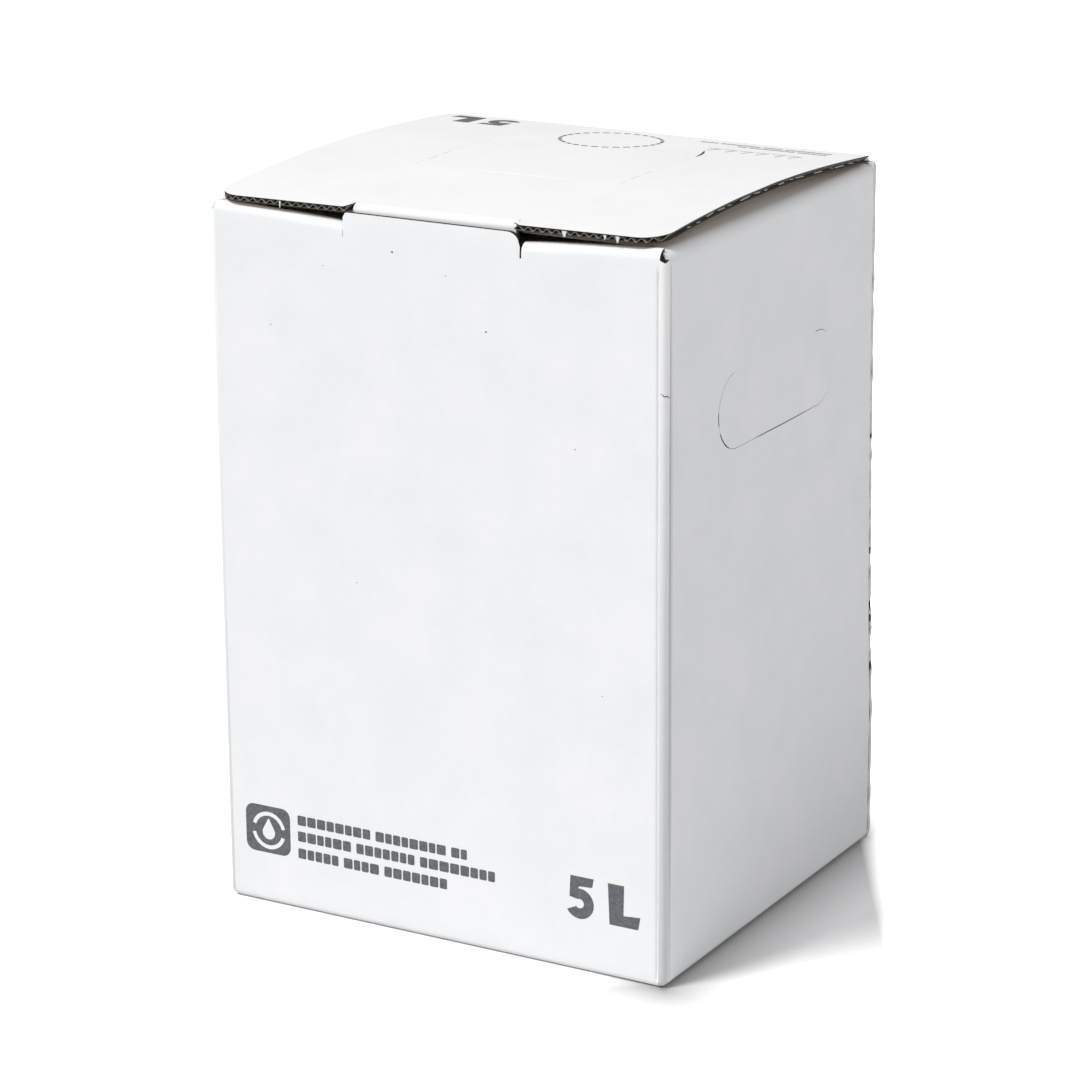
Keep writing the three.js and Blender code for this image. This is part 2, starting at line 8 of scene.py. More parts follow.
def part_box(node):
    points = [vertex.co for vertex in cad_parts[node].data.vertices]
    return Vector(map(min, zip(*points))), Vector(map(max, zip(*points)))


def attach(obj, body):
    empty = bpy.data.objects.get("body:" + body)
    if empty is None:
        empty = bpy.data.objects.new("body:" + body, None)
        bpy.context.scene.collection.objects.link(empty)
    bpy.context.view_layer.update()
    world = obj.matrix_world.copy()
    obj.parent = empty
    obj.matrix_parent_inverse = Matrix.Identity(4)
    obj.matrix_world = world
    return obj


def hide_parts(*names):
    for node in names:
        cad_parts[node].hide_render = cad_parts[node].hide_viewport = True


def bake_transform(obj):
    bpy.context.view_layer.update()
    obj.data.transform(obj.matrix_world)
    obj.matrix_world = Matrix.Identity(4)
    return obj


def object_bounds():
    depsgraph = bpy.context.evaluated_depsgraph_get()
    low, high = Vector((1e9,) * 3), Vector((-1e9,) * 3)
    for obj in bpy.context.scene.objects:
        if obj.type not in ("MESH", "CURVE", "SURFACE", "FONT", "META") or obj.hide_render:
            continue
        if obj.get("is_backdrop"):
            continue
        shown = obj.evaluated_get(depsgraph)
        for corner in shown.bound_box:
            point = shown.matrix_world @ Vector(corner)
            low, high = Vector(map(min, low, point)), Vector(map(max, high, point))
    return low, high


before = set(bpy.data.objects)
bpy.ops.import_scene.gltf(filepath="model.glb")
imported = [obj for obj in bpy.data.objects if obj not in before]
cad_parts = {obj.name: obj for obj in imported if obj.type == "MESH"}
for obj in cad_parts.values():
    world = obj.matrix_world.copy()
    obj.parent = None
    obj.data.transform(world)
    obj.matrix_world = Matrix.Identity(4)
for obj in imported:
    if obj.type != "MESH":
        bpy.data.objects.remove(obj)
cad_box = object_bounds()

# The looks of a bag-in-box for oil. Lengths are in millimetres until a mesh is made.
MM = 0.001

# Carton: walls and folds
carton_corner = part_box("carton")[1]
HALF_W = carton_corner[0] / MM
HALF_D = carton_corner[1] / MM
BOARD = 2.0
FOLD_R = 2.2
BASE_R = 2.4
WALL_TOP = 235.0
SIDE_WALL_TOP = 238.0
CORNER_TOP = 239.6
CORNER_DIP = 0.9
WALL_STEP = 3.0
LEAN = 2.3
LEAN_FROM = 50.0
LEAN_FADE = 60.0
SCORE_DEPTH = 0.62
SCORE_OFFSET = 0.6
SCORE_WIDTH = 0.35
SCORE_COLUMNS = [0.0, 0.2, 0.4, 0.6, 0.8, 1.0, 1.2, 1.5, 2.1]
TINY = 0.001

# Carton: the lip on the front wall, and the rolls and flaps beside it
LIP_TOP = 243.0
LIP_HALF = 32.5
LIP_LEAN = 0.25
LIP_LEFT_R = 1.6
LIP_RIGHT_R = 4.5
LIP_STEP = 0.8
SLIT = 0.6
LEFT_SLIT = 0.12
SLOT_REAR = 5.0
FRONT_ROLL = 6.2
FRONT_ROLL_IN = 3.2
FRONT_ROLL_END = 81.0
FRONT_ROLL_DIP = 1.5
LEFT_LIFT = 0.7
RIGHT_LIFT = 1.6
FRONT_FLAP_SLOPE = 0.55
FRONT_FLAP_DROP = 2.7
FRONT_FLAP_END = 75.0
FRONT_FLAP_REACH = 50.0
SIDE_ROLL = 4.2
SIDE_FLAP_RAMP = 18.0
SIDE_FLAP_RISE = 0.4
SIDE_FLAP_REACH = 55.0
SIDE_FLAP_END = 70.0
FLAP_STEP_IN = 3.0

# Carton: rear wall, glue joint and bottom flaps
REAR_TOP = 238.0
REAR_EAR_TOP = 242.3
REAR_CORNER_R = 1.3
TAB_R = 2.0
GLUE_EDGE = 83.4
GLUE_COLUMNS = [0.0, 0.7, 1.6, 3.0, 4.4, 7.0]
GLUE_TAB_END = 47.0
GLUE_TAB_TOP = 242.5
BASE_FLAP_SIDE = 78.5
BASE_FLAP_REACH = 77.5
SIDE_FOOT_REACH = 5.0
INNER_FLAP_SIDE = HALF_W - BOARD - 0.4
INNER_FLAP_END = 6.0
INNER_FLAP_REAR = HALF_D - BOARD - 2.6
INNER_FLAP_FRONT = -HALF_D + BOARD + 0.6

# Hand holds, with the width of the knife line by its angle round the hold
HAND_LENGTH = 85.0
HAND_HEIGHT = 25.5
HAND_MIDDLE = 181.75
HAND_WINDOW = HAND_LENGTH / 2 + 7.5
HAND_MARGIN = 6.0
RIGHT_CUTS = [(16.0, 0.0), (18.0, 0.1), (24.0, 0.24), (25.0, 0.0), (157.0, 0.0), (160.0, 0.14)]
RIGHT_CUTS += [(174.0, 0.16), (177.5, 0.18), (178.5, 0.5), (183.5, 0.5), (184.5, 0.06), (187.0, 0.1)]
RIGHT_CUTS += [(188.5, 0.5), (196.0, 0.46), (199.0, 0.14), (214.0, 0.12), (226.0, 0.3), (272.0, 0.34)]
RIGHT_CUTS += [(322.0, 0.3), (334.0, 0.16), (346.0, 0.08), (352.0, 0.0)]
LEFT_CUTS = [(0.0, 0.16), (21.0, 0.16), (23.0, 0.0), (157.0, 0.0), (160.0, 0.16), (360.0, 0.16)]

# Lid
LID_HALF = 82.0
LID_FRONT = -77.7
LID_REAR = 70.4
LID_CORNER = 9.0
LID_FOLD_HALF = 79.4
LID_TOP = 245.0
CROWN = 3.6
SPRING = 1.7
DROOP = 0.7
DROOP_FADE = 12.0
TONGUE_HALF = 30.0
TONGUE_Y = -75.7
TONGUE_ROLL = 2.5
TONGUE_LEAN = 1.9
TONGUE_FOOT = 221.0
NOTCH_REAR = TONGUE_Y + TONGUE_ROLL
WING_REAR = -66.0
WING_TIP = 30.5
TIP_LIFT = 0.7
TIP_WIDTH = 1.2
TIP_LENGTH = 5.0

# Tap door: its sides, its front score and a fainter score behind it
DOOR_HALF = 38.0
DOOR_FRONT = -25.0
DOOR_SCORE = 2.0
DOOR_SCORE_WIDTH = 0.7

# Corrugated board of the lid
PITCH = 3.3
LINER = 0.28
MEDIUM = 0.16
LINER_STEP = 2.2

# Torn bits of the lid's front edge: (x, half width, length), and their shape as (across, out, down)
TORN_BITS = [(48.3, 0.9, 2.0), (62.6, 0.5, 1.5), (67.0, 0.7, 2.1), (-56.4, 0.35, 2.3)]
TORN_SHAPE = [(-1.0, 0.03, 0.0), (-0.2, 0.1, 1.0), (0.5, 0.08, 0.8), (1.0, 0.03, 0.0)]
FIBRE = 0.17

# Print: figures are (x, foot, width, height), and rows of words are (start, end, foot, height)
PRINT_HIGH = 0.04
FRONT_FIVE = (48.2, 18.3, 10.0, 14.7)
FRONT_L = (63.4, 18.6, 11.9, 14.2)
FRONT_WORDS = [(-55.7, 10.6, 30.5, 3.5), (-55.7, 21.2, 24.7, 3.6), (-55.7, 2.8, 18.6, 3.6)]
SIGN_TILE = (-76.6, 18.2, -58.8, 35.1, 3.2)
SIGN_X = -67.45
DROP_Z = 25.6
DROP_R = 2.5
SIGN_Z = 26.3
SIGN_RADII = (5.3, 6.7)
LID_FIVE = (49.5, -67.0, 10.5, 14.6)
LID_L = (64.0, -67.0, 12.5, 14.6)
LID_WORDS = [(-71.5, -20.5, -64.0, 1.9), (-71.5, -38.0, -60.4, 1.9)]
RING_CENTRE = (-3.5, 46.5)
RING_R = 17.5
RING_HALF_WIDTH = 0.6
RING_DASHES = 30
DASH_ANGLE = 8.0

# Specks on the front: (x, z, radius), and torn places of the glue joint: (z, length)
SPECKS = [(-14.1, 232.0, 0.34), (20.1, 210.0, 0.3), (-61.0, 203.0, 0.18), (-40.2, 224.8, 0.16)]
SPECKS += [(5.6, 226.4, 0.16), (52.0, 176.0, 0.2), (-30.0, 120.0, 0.17), (61.5, 96.0, 0.18)]
GLUE_TEARS = [(147.0, 2.2), (106.0, 2.6), (86.0, 4.2), (81.5, 3.0), (64.0, 3.4)]
CRACK_Z = 197.6

# Bag and tap
TAP_Y = 39.0
DISH_DEPTH = 6.0
DISH_R = 28.0
DISH_SLOPE = 9.0
FLANGE_R = 22.0
FLANGE_THICK = 1.5
NECK_R = 12.5
GLAND_BORE = 10.0
SEAL_R = 13.7
SEAL_ROUND = 0.9
BARREL_R = 8.5
BARREL_BORE = 6.2
STEM_BORE = 4.4
VALVE_SEAT = TAP_Y + 12.0
COLLAR_R = 16.0
COLLAR_BORE = 12.8
COLLAR_THICK = 1.6
OUTLET_R = 4.5
COLLAR_GRIPS = 24
WING_ROOT = 6.6
WING_DEPTH = 7.0
WING_HALF_THICK = 1.5
BUTTON_WALL = 1.6
PLUG_R = 5.4
CAP_WALL = 1.2

# Floor, as the camera sees it, with a painted contact shadow by the right wall and painted white over the
# cast shadow further right
FLOOR_HALF = 9000.0
FLOOR_Z = -0.2
CONTACT_SHADOW_FADE = 26.0
FADE_FROM = 107.0
FADE_OVER = 12.0

# Camera and light
CAMERA_ANGLES = (29.931, 17.022, -0.408)
CAMERA_PLACE = (0.62402, -1.09390, 0.50350)
LENS = 129.27
WORLD_LIGHT = 0.47

# Places in the carton's list of materials, by what the board's face and its raw edge look like
PALE_SLOT = 3
FOLD_SLOT = 6
TORN_FOLD_SLOT = 9


# Small helpers


def clamp(value):
    return min(max(value, 0.0), 1.0)


def bell(distance, width):
    """1 at no distance, and nearly nothing from twice the width."""
    return exp(-((distance / width) ** 2))


def steps(start, end, size):
    """Evenly spaced values from start to end, no further apart than size."""
    count = max(1, ceil(abs(end - start) / size - 1e-6))
    return [start + (end - start) * i / count for i in range(count + 1)]


def merged(*lists):
    """Sorted values of several lists, without near doubles."""
    kept = []
    for value in sorted(v for one in lists for v in one):
        if not kept or value - kept[-1] > 1e-4:
            kept.append(value)
    return kept


def between(table, value):
    """Straight lines between the (place, height) pairs of a table, and nothing outside it."""
    for (a, low), (b, high) in zip(table, table[1:]):
        if a <= value < b:
            return low + (high - low) * (value - a) / (b - a)
    return 0.0


def arc(cx, cy, radius, start, end, count):
    """Points round a centre, between two angles in degrees."""
    turns = [radians(start + (end - start) * i / count) for i in range(count + 1)]
    return [(cx + radius * cos(turn), cy + radius * sin(turn)) for turn in turns]


class Sheet:
    """Points and faces of one piece, in millimetres. Points that meet are shared."""

    def __init__(self):
        self.points = {}
        self.faces = []
        self.slots = []

    def face(self, places, slot=0):
        keys = [tuple(round(v, 3) for v in place) for place in places]
        ring = list(dict.fromkeys(self.points.setdefault(key, len(self.points)) for key in keys))
        if len(ring) > 2:
            self.faces.append(ring)
            self.slots.append(slot)

    def grid(self, rows, slot=0):
        """Faces between rows of points. Rows run upwards and points rightwards, seen from outside."""
        for low, high in zip(rows, rows[1:]):
            for i in range(len(low) - 1):
                self.face([low[i], low[i + 1], high[i + 1], high[i]], slot)

    def prism(self, upper, lower):
        """A closed body between two outlines. The upper one runs counter-clockwise, seen from outside."""
        self.face(upper)
        self.face(lower[::-1])
        for i in range(len(upper)):
            j = (i + 1) % len(upper)
            self.face([lower[i], lower[j], upper[j], upper[i]])

    def upright(self, plan, foot, top):
        """A prism that stands on a plan of (x, y) points."""
        self.prism([(x, y, top) for x, y in plan], [(x, y, foot) for x, y in plan])

    def mesh(self, name, bend=None):
        points = [bend(*p) if bend else p for p in self.points]
        data = bpy.data.meshes.new(name)
        data.from_pydata([(x * MM, y * MM, z * MM) for x, y, z in points], [], self.faces)
        data.polygons.foreach_set("material_index", self.slots)
        data.update()
        return data


def new_object(name, data):
    obj = bpy.data.objects.new(name, data)
    bpy.context.scene.collection.objects.link(obj)
    return obj


def piece(name, sheet, materials, body, angle=35.0, thick=None, shell=0, rim=0, bend=None):
    """A named object from a sheet, given a thickness if it has one. It rides on a body, if one is given."""
    data = sheet.mesh(name, bend)
    for material in materials:
        data.materials.append(material)
    obj = new_object(name, data)
    if thick:
        solid = obj.modifiers.new("board", "SOLIDIFY")
        solid.thickness = thick * MM
        solid.offset = -1
        solid.use_even_offset = True
        solid.material_offset = shell
        solid.material_offset_rim = rim
        bpy.context.view_layer.update()
        graph = bpy.context.evaluated_depsgraph_get()
        obj.data = bpy.data.meshes.new_from_object(obj.evaluated_get(graph))
        obj.modifiers.clear()
        bpy.data.meshes.remove(data)
        obj.data.name = name
    obj.data.shade_smooth()
    obj.data.set_sharp_from_angle(angle=radians(angle))
    if body:
        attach(obj, body)
    return obj


# Materials

SPECULAR = "Specular IOR Level"


class Nodes:
    """The node tree of a material or world, with short calls to add and link nodes."""

    def __init__(self, owner, shader="ShaderNodeBsdfPrincipled", output="ShaderNodeOutputMaterial"):
        owner.use_nodes = True
        self.owner = owner
        self.tree = owner.node_tree
        self.tree.nodes.clear()
        self.shader = self.add(shader)
        self.add(output, {"Surface": self.shader.outputs[0]})

    def add(self, kind, sockets=(), **values):
        node = self.tree.nodes.new(kind)
        for key, value in values.items():
            setattr(node, key, value)
        self.set(node, sockets)
        return node

    def set(self, node, sockets):
        """Gives a node's sockets plain values, or links from other nodes' outputs."""
        for socket, value in dict(sockets).items():
            if isinstance(value, bpy.types.NodeSocket):
                self.tree.links.new(value, node.inputs[socket])
            else:
                node.inputs[socket].default_value = value

    def math(self, operation, *values):
        return self.add("ShaderNodeMath", enumerate(values), operation=operation).outputs[0]

    def place(self):
        return self.add("ShaderNodeTexCoord").outputs["Object"]

    def parts(self, vector):
        return self.add("ShaderNodeSeparateXYZ", {0: vector}).outputs

    def noise(self, scale, detail=4.0, roughness=0.6, vector=None):
        sockets = {"Scale": scale, "Detail": detail, "Roughness": roughness, "Vector": vector or self.place()}
        return self.add("ShaderNodeTexNoise", sockets).outputs["Fac"]

    def ramp(self, factor, stops):
        """A colour by factor. Each stop has its place, its sRGB colour and, if needed, a shade."""
        node = self.add("ShaderNodeValToRGB", {"Fac": factor})
        ramp = node.color_ramp
        while len(ramp.elements) < len(stops):
            ramp.elements.new(0.5)
        for element, (position, *value) in zip(ramp.elements, stops):
            element.position = position
            element.color = colour(*value)
        return node.outputs["Color"]

    def bump(self, height, strength, distance):
        sockets = {"Strength": strength, "Distance": distance, "Height": height}
        return self.add("ShaderNodeBump", sockets).outputs["Normal"]

    def finish(self, tone, stops, roughness, more=()):
        """Colour from the stops by tone, and the shader's other sockets. Returns the material."""
        self.set(self.shader, {"Base Color": self.ramp(tone, stops), "Roughness": roughness})
        self.set(self.shader, more)
        return self.owner


def linear(value):
    """One sRGB channel, 0 to 255, as linear light."""
    v = value / 255
    return v / 12.92 if v <= 0.04045 else ((v + 0.055) / 1.055) ** 2.4


def colour(rgb, shade=1.0):
    return (*(linear(channel) * shade for channel in rgb), 1.0)


def new_material(name):
    return Nodes(bpy.data.materials.new(name))


def washboard(nodes):
    """Faint ridges of the flutes under the liner: upright on the walls, front to rear on the lid."""
    x, y, _ = nodes.parts(nodes.place())
    normal = nodes.parts(nodes.add("ShaderNodeNewGeometry").outputs["Normal"])
    sideways = nodes.math("GREATER_THAN", nodes.math("ABSOLUTE", normal[0]), 0.7)
    turn = 2 * pi / (PITCH * MM)
    over_x = nodes.math("SINE", nodes.math("MULTIPLY", x, turn))
    over_y = nodes.math("SINE", nodes.math("MULTIPLY", y, turn))
    on_side = nodes.math("MULTIPLY", over_y, sideways)
    on_front = nodes.math("MULTIPLY", over_x, nodes.math("SUBTRACT", 1.0, sideways))
    return nodes.math("ADD", on_side, on_front)


def board_material(name, light, dark, ridges, fibre):
    """White-topped board: soft mottling, faint flute ridges and paper grain."""
    nodes = new_material(name)
    stops = [(0.32, dark), (0.68, light)]
    grain = nodes.math("MULTIPLY", nodes.noise(2600.0, 3.0, 0.7), fibre)
    waves = nodes.math("MULTIPLY", washboard(nodes), ridges)
    cockle = nodes.math("MULTIPLY", nodes.noise(55.0, 2.0, 0.5), 0.9)
    height = nodes.math("ADD", nodes.math("ADD", grain, waves), cockle)
    normal = nodes.bump(height, 0.35, 0.00012)
    return nodes.finish(nodes.noise(38.0, 5.0, 0.62), stops, 0.62, {SPECULAR: 0.32, "Normal": normal})


def fold_material():
    """The liner over an upright fold, with a painted highlight near the top and painted shade near the floor:
    lighter with height.
    """
    nodes = new_material("fold_highlight_and_shade")
    # Height up the wall sets the painted highlight and the painted shade.
    height = nodes.math("DIVIDE", nodes.parts(nodes.place())[2], 0.24)
    uneven = nodes.math("MULTIPLY", nodes.math("SUBTRACT", nodes.noise(120.0), 0.5), 0.2)
    stops = [(0.0, (212, 213, 216)), (0.5, (232, 233, 235)), (1.0, (253, 253, 253))]
    normal = nodes.bump(nodes.noise(2200.0, 3.0, 0.7), 0.25, 0.0001)
    return nodes.finish(nodes.math("ADD", height, uneven), stops, 0.5, {"Normal": normal})


def rough_paper(name, light, dark, scale, roughness=0.9, strength=0.5, distance=0.0002):
    """Unbleached paper: fibres and blotches of two tones."""
    nodes = new_material(name)
    stops = [(0.3, dark), (0.7, light)]
    normal = nodes.bump(nodes.noise(scale * 6, 3.0), strength, distance)
    return nodes.finish(nodes.noise(scale, 6.0, 0.7), stops, roughness, {SPECULAR: 0.2, "Normal": normal})


def ink_material(name, light, dark):
    """Flexo print: slightly uneven grey ink, where the board's grain shows through."""
    nodes = new_material(name)
    stops = [(0.3, dark), (0.72, light)]
    return nodes.finish(nodes.noise(900.0, 4.0, 0.75), stops, 0.7, {SPECULAR: 0.3})


def plastic_material(name, base, roughness):
    """Moulded plastic with a fine spark-eroded grain."""
    nodes = new_material(name)
    stops = [(0.3, base, 0.92), (0.7, base)]
    normal = nodes.bump(nodes.noise(700.0, 2.0), 0.15, 0.0001)
    return nodes.finish(nodes.noise(60.0, 3.0), stops, roughness, {"Normal": normal})


def film_material():
    """Clear bag film over golden oil, with creases that catch the light."""
    nodes = new_material("bag_film")
    stops = [(0.3, (196, 156, 62)), (0.7, (226, 196, 104))]
    stretch = nodes.add("ShaderNodeMapping", {"Scale": (1.0, 3.2, 1.0), "Vector": nodes.place()})
    normal = nodes.bump(nodes.noise(60.0, 5.0, 0.7, stretch.outputs["Vector"]), 0.5, 0.0016)
    coat = {"Coat Weight": 0.6, "Coat Roughness": 0.08, "Normal": normal}
    return nodes.finish(nodes.noise(22.0), stops, 0.16, coat)


WHITE = board_material("white_board", (246, 246, 247), (240, 241, 242), 0.16, 0.5)
FOLD_HIGHLIGHT_AND_SHADE = fold_material()
LID_WHITE = board_material("lid_board", (244, 244, 243), (240, 240, 240), 0.06, 0.3)
# Raw board edge: its grey paper tone, darkened well below it with painted shade of the flutes and gaps.
CUT_EDGE_AND_SHADE = rough_paper("cut_edge_and_shade", (70, 69, 67), (30, 30, 30), 900.0)
PALE_EDGE = rough_paper("pale_edge", (240, 240, 240), (212, 212, 213), 1200.0)
KRAFT = rough_paper("kraft_inside", (168, 148, 122), (140, 120, 96), 180.0, 0.85, 0.3, 0.0001)
DARK_KRAFT = rough_paper("lid_inside", (118, 107, 93), (92, 83, 72), 180.0, 0.85, 0.3, 0.0001)
FLUTE = rough_paper("flute_paper", (170, 167, 161), (96, 93, 88), 700.0)
INK = ink_material("grey_ink", (122, 124, 128), (82, 85, 90))
PALE_INK = ink_material("pale_ink", (172, 173, 175), (140, 141, 143))
# Painted shade in slits: the tap door's open cut and the crack at the near fold. The specks on the front
# share this dark ink.
SLIT_SHADE_AND_SPECKS = ink_material("slit_shadow_and_specks", (96, 92, 86), (56, 52, 48))
# Painted faint shade in the dashed knife lines of the tap door.
FAINT_SLIT_SHADE = ink_material("faint_slit_shade", (236, 236, 235), (224, 224, 223))
# Painted shade of the creases beside the near fold, laid as grey strips on the side wall.
SOFT_CREASE_SHADE = ink_material("crease", (232, 232, 234), (224, 224, 226))
DEEP_CREASE_SHADE = ink_material("deep_crease_shade", (206, 206, 210), (194, 195, 199))
FILM = film_material()
GLAND = plastic_material("gland_plastic", (244, 244, 240), 0.4)
TAP = plastic_material("tap_plastic", (234, 234, 229), 0.38)
RUBBER = plastic_material("seal_rubber", (48, 48, 50), 0.7)
BUTTON = plastic_material("button_plastic", (186, 44, 34), 0.45)
STEM = plastic_material("stem_plastic", (220, 220, 214), 0.45)
CAP = plastic_material("cap_plastic", (204, 206, 208), 0.42)


# Shape of the lid


def lid_rise(y):
    """The arch of the lid from front to rear."""
    return CROWN * sin(pi * clamp((y - LID_FRONT) / (HALF_D - LID_FRONT)))


def lid_top(x, y):
    """The lid's upper face: arched, sprung up at its front right, with a drooping edge and raised tips."""
    spring = SPRING * (x + LID_HALF) / (2 * LID_HALF) * (HALF_D - y) / (2 * HALF_D)
    droop = DROOP * exp(-max(y - LID_FRONT, 0.0) / DROOP_FADE)
    tip = 0.0
    if abs(x) >= WING_TIP and y < NOTCH_REAR:
        tip = TIP_LIFT * bell(abs(x) - WING_TIP, TIP_WIDTH) * min(1.0, (NOTCH_REAR - y) / TIP_LENGTH)
    return LID_TOP + lid_rise(y) + spring + tip - droop


def leaning(x, y, z):
    """The carton leans in a little at its rear right edge, most of all at the top."""
    share = 1 - exp(-(z - LEAN_FROM) / LEAN_FADE) if z > LEAN_FROM else 0.0
    return (x - LEAN * share * clamp(y / HALF_D) ** 1.5 * max(x, 0.0) / HALF_W, y, z)


# Carton: one folded sheet. On each wall u runs rightwards, seen from outside, and inward goes into it.


def on_front(u, inward, z):
    return (u, -HALF_D + inward, z)


def on_right(u, inward, z):
    return (HALF_W - inward, u, z)


def on_rear(u, inward, z):
    return (-u, HALF_D - inward, z)


def on_left(u, inward, z):
    return (-HALF_W + inward, -u, z)


def foot_path(reach):
    """(inward, z) from a bottom flap's free end, round the fold, to the foot of the wall."""
    flap = [(v, 0.0) for v in steps(reach, BASE_R + 1.0, 12.0)]
    return flap + arc(BASE_R, BASE_R, BASE_R, 270, 180, 6)


def roll_path(wall_top, deep, high, reach, slope):
    """(inward, z) from the wall's top, over the roll, to the flap's end, which lies a little lower."""
    straight = high - deep
    path = [(0.0, wall_top + straight * i / 3) for i in (1, 2, 3)]
    path += arc(deep, wall_top + straight, deep, 180, 90, 10)[1:]
    for v in steps(deep, reach, 5.0)[1:]:
        path.append((v, wall_top + high - min(slope * (v - deep), FRONT_FLAP_DROP)))
    return path


def front_path(u):
    """The front roll is pressed down beside the lip, and stands higher at the corners."""
    along = clamp((abs(u) - LIP_HALF) / (FRONT_ROLL_END - LIP_HALF))
    lift = RIGHT_LIFT if u > 0 else LEFT_LIFT
    high = FRONT_ROLL - FRONT_ROLL_DIP * (1 - along) ** 1.3 + lift * along**0.6
    return roll_path(WALL_TOP, FRONT_ROLL_IN, high, FRONT_FLAP_REACH, FRONT_FLAP_SLOPE)


WALL_ROWS = steps(BASE_R, WALL_TOP, WALL_STEP)
SIDE_PATH = roll_path(SIDE_WALL_TOP, SIDE_ROLL, SIDE_ROLL, SIDE_FLAP_REACH, 0.0)
HAND_LOW = max(z for z in WALL_ROWS if z < HAND_MIDDLE - HAND_HEIGHT / 2 - HAND_MARGIN)
HAND_HIGH = min(z for z in WALL_ROWS if z > HAND_MIDDLE + HAND_HEIGHT / 2 + HAND_MARGIN)


def front_flap_u(u, inward):
    """The front flap's ends step in behind its roll."""
    start = LIP_HALF + SLIT
    if abs(u) <= start:
        return u
    scale = (FRONT_FLAP_END - start) / (FRONT_ROLL_END - start)
    moved = copysign(start + (abs(u) - start) * scale, u)
    return u + (moved - u) * clamp((inward - FRONT_ROLL_IN) / FLAP_STEP_IN)


def groove(u, edge):
    """Depth of the score line beside an upright fold."""
    return SCORE_DEPTH * bell(abs(u - edge) - SCORE_OFFSET, SCORE_WIDTH)


def low_rows(place, columns, levels, narrower):
    """Rows of a bottom flap, narrower than its wall, and of the wall."""
    rows = []
    for inward, z in levels:
        scale = narrower if inward > BASE_R and z < BASE_R else 1.0
        rows.append([place(u * scale, inward, z) for u in columns])
    return rows


def add_front(sheet):
    inside = HALF_W - FOLD_R
    levels = foot_path(BASE_FLAP_REACH) + [(0.0, z) for z in WALL_ROWS[1:]]

    def scored(u, inward, z):
        return on_front(u, groove(u, inside) if inward == 0.0 else inward, z)

    ends = [-inside, -LIP_HALF - LEFT_SLIT, -LIP_HALF, LIP_HALF, LIP_HALF + SLIT, inside]
    for start, end, kind in zip(ends, ends[1:], ["roll", "wall", "lip", "wall", "roll"]):
        columns = steps(start, end, LIP_STEP if kind == "lip" else WALL_STEP)
        if kind == "roll":
            fine = [copysign(inside - v, start) for v in SCORE_COLUMNS]
            columns = merged([u for u in columns if abs(u) < inside - 2.5], [start, end], fine)
        sheet.grid(low_rows(scored, columns, levels, BASE_FLAP_SIDE / inside))
        if kind == "lip":
            shares = [i / 8 for i in range(9)]
            sheet.grid([[on_front(u, LIP_LEAN * t**2, lip_z(u, t)) for u in columns] for t in shares])
        if kind == "roll":
            rows = [[on_front(u, groove(u, inside), WALL_TOP) for u in columns]]
            for level in zip(*(front_path(u) for u in columns)):
                rows.append([on_front(front_flap_u(u, v), v, z) for u, (v, z) in zip(columns, level)])
            sheet.grid(rows)
    # Behind the slot the flap runs on across the middle.
    columns = merged([-LIP_HALF - LEFT_SLIT, LIP_HALF + SLIT], steps(-LIP_HALF, LIP_HALF, WALL_STEP))
    behind = [(v, z) for v, z in front_path(LIP_HALF) if v > SLOT_REAR]
    sheet.grid([[on_front(u, v, z) for u in columns] for v, z in behind])


def round_drop(over, radius):
    """How far a round corner lies below its straight edge, at over past the start of the round."""
    return radius - sqrt(max(radius**2 - over**2, 0.0)) if over > 0 else 0.0


def lip_z(u, share):
    """The lip's upper edge is round at both ends, and more so at the right."""
    radius = LIP_RIGHT_R if u > 0 else LIP_LEFT_R
    top = LIP_TOP - round_drop(abs(u) - (LIP_HALF - radius), radius)
    return WALL_TOP + (top - WALL_TOP) * share


def add_side(sheet, place, start, end, cuts):
    """A side wall with its bottom fold, its roll, its dust flap and its hand hold."""
    path = foot_path(SIDE_FOOT_REACH) + [(0.0, z) for z in WALL_ROWS[1:] + [SIDE_WALL_TOP]]
    fine = [start + v for v in SCORE_COLUMNS] + [end - v for v in SCORE_COLUMNS]
    last = SCORE_COLUMNS[-1]
    plain = steps(start + last, -HAND_WINDOW, WALL_STEP) + steps(HAND_WINDOW, end - last, WALL_STEP)
    columns = merged(fine, plain, steps(-HAND_WINDOW, HAND_WINDOW, 4.0))
    rows = [[place(u, inward, z) for u in columns] for inward, z in path]
    for (_, z), below, above in zip(path, rows, rows[1:]):
        for i in range(len(columns) - 1):
            beside = -HAND_WINDOW <= columns[i] + TINY < HAND_WINDOW
            if not (beside and HAND_LOW <= z + TINY < HAND_HIGH):
                sheet.face([below[i], below[i + 1], above[i + 1], above[i]])
    add_hand_hold(sheet, place, columns, cuts)
    narrower = SIDE_FLAP_END / max(abs(start), abs(end)) - 1
    rolls = []
    for inward, z in [(0.0, SIDE_WALL_TOP)] + SIDE_PATH:
        pull = 1 + clamp((inward - SIDE_ROLL) / FLAP_STEP_IN) * narrower
        ramp = clamp((inward - SIDE_ROLL) / SIDE_FLAP_RAMP)
        row = [place(u * pull, inward, z) for u in columns]
        rolls.append([(x, y, z + ramp * (lid_rise(y) + SIDE_FLAP_RISE)) for x, y, _ in row])
    sheet.grid(rolls, PALE_SLOT)


def stadium(angle, radius):
    """Where a ray from the hand hold's middle leaves a stadium of this end radius."""
    reach = (HAND_LENGTH - HAND_HEIGHT) / 2
    c, s = cos(angle), sin(angle)
    if abs(s) * reach > radius * abs(c):
        far = radius / abs(s)
    else:
        far = reach * abs(c) + sqrt(radius**2 - (reach * s) ** 2)
    return (far * c, HAND_MIDDLE + far * s)


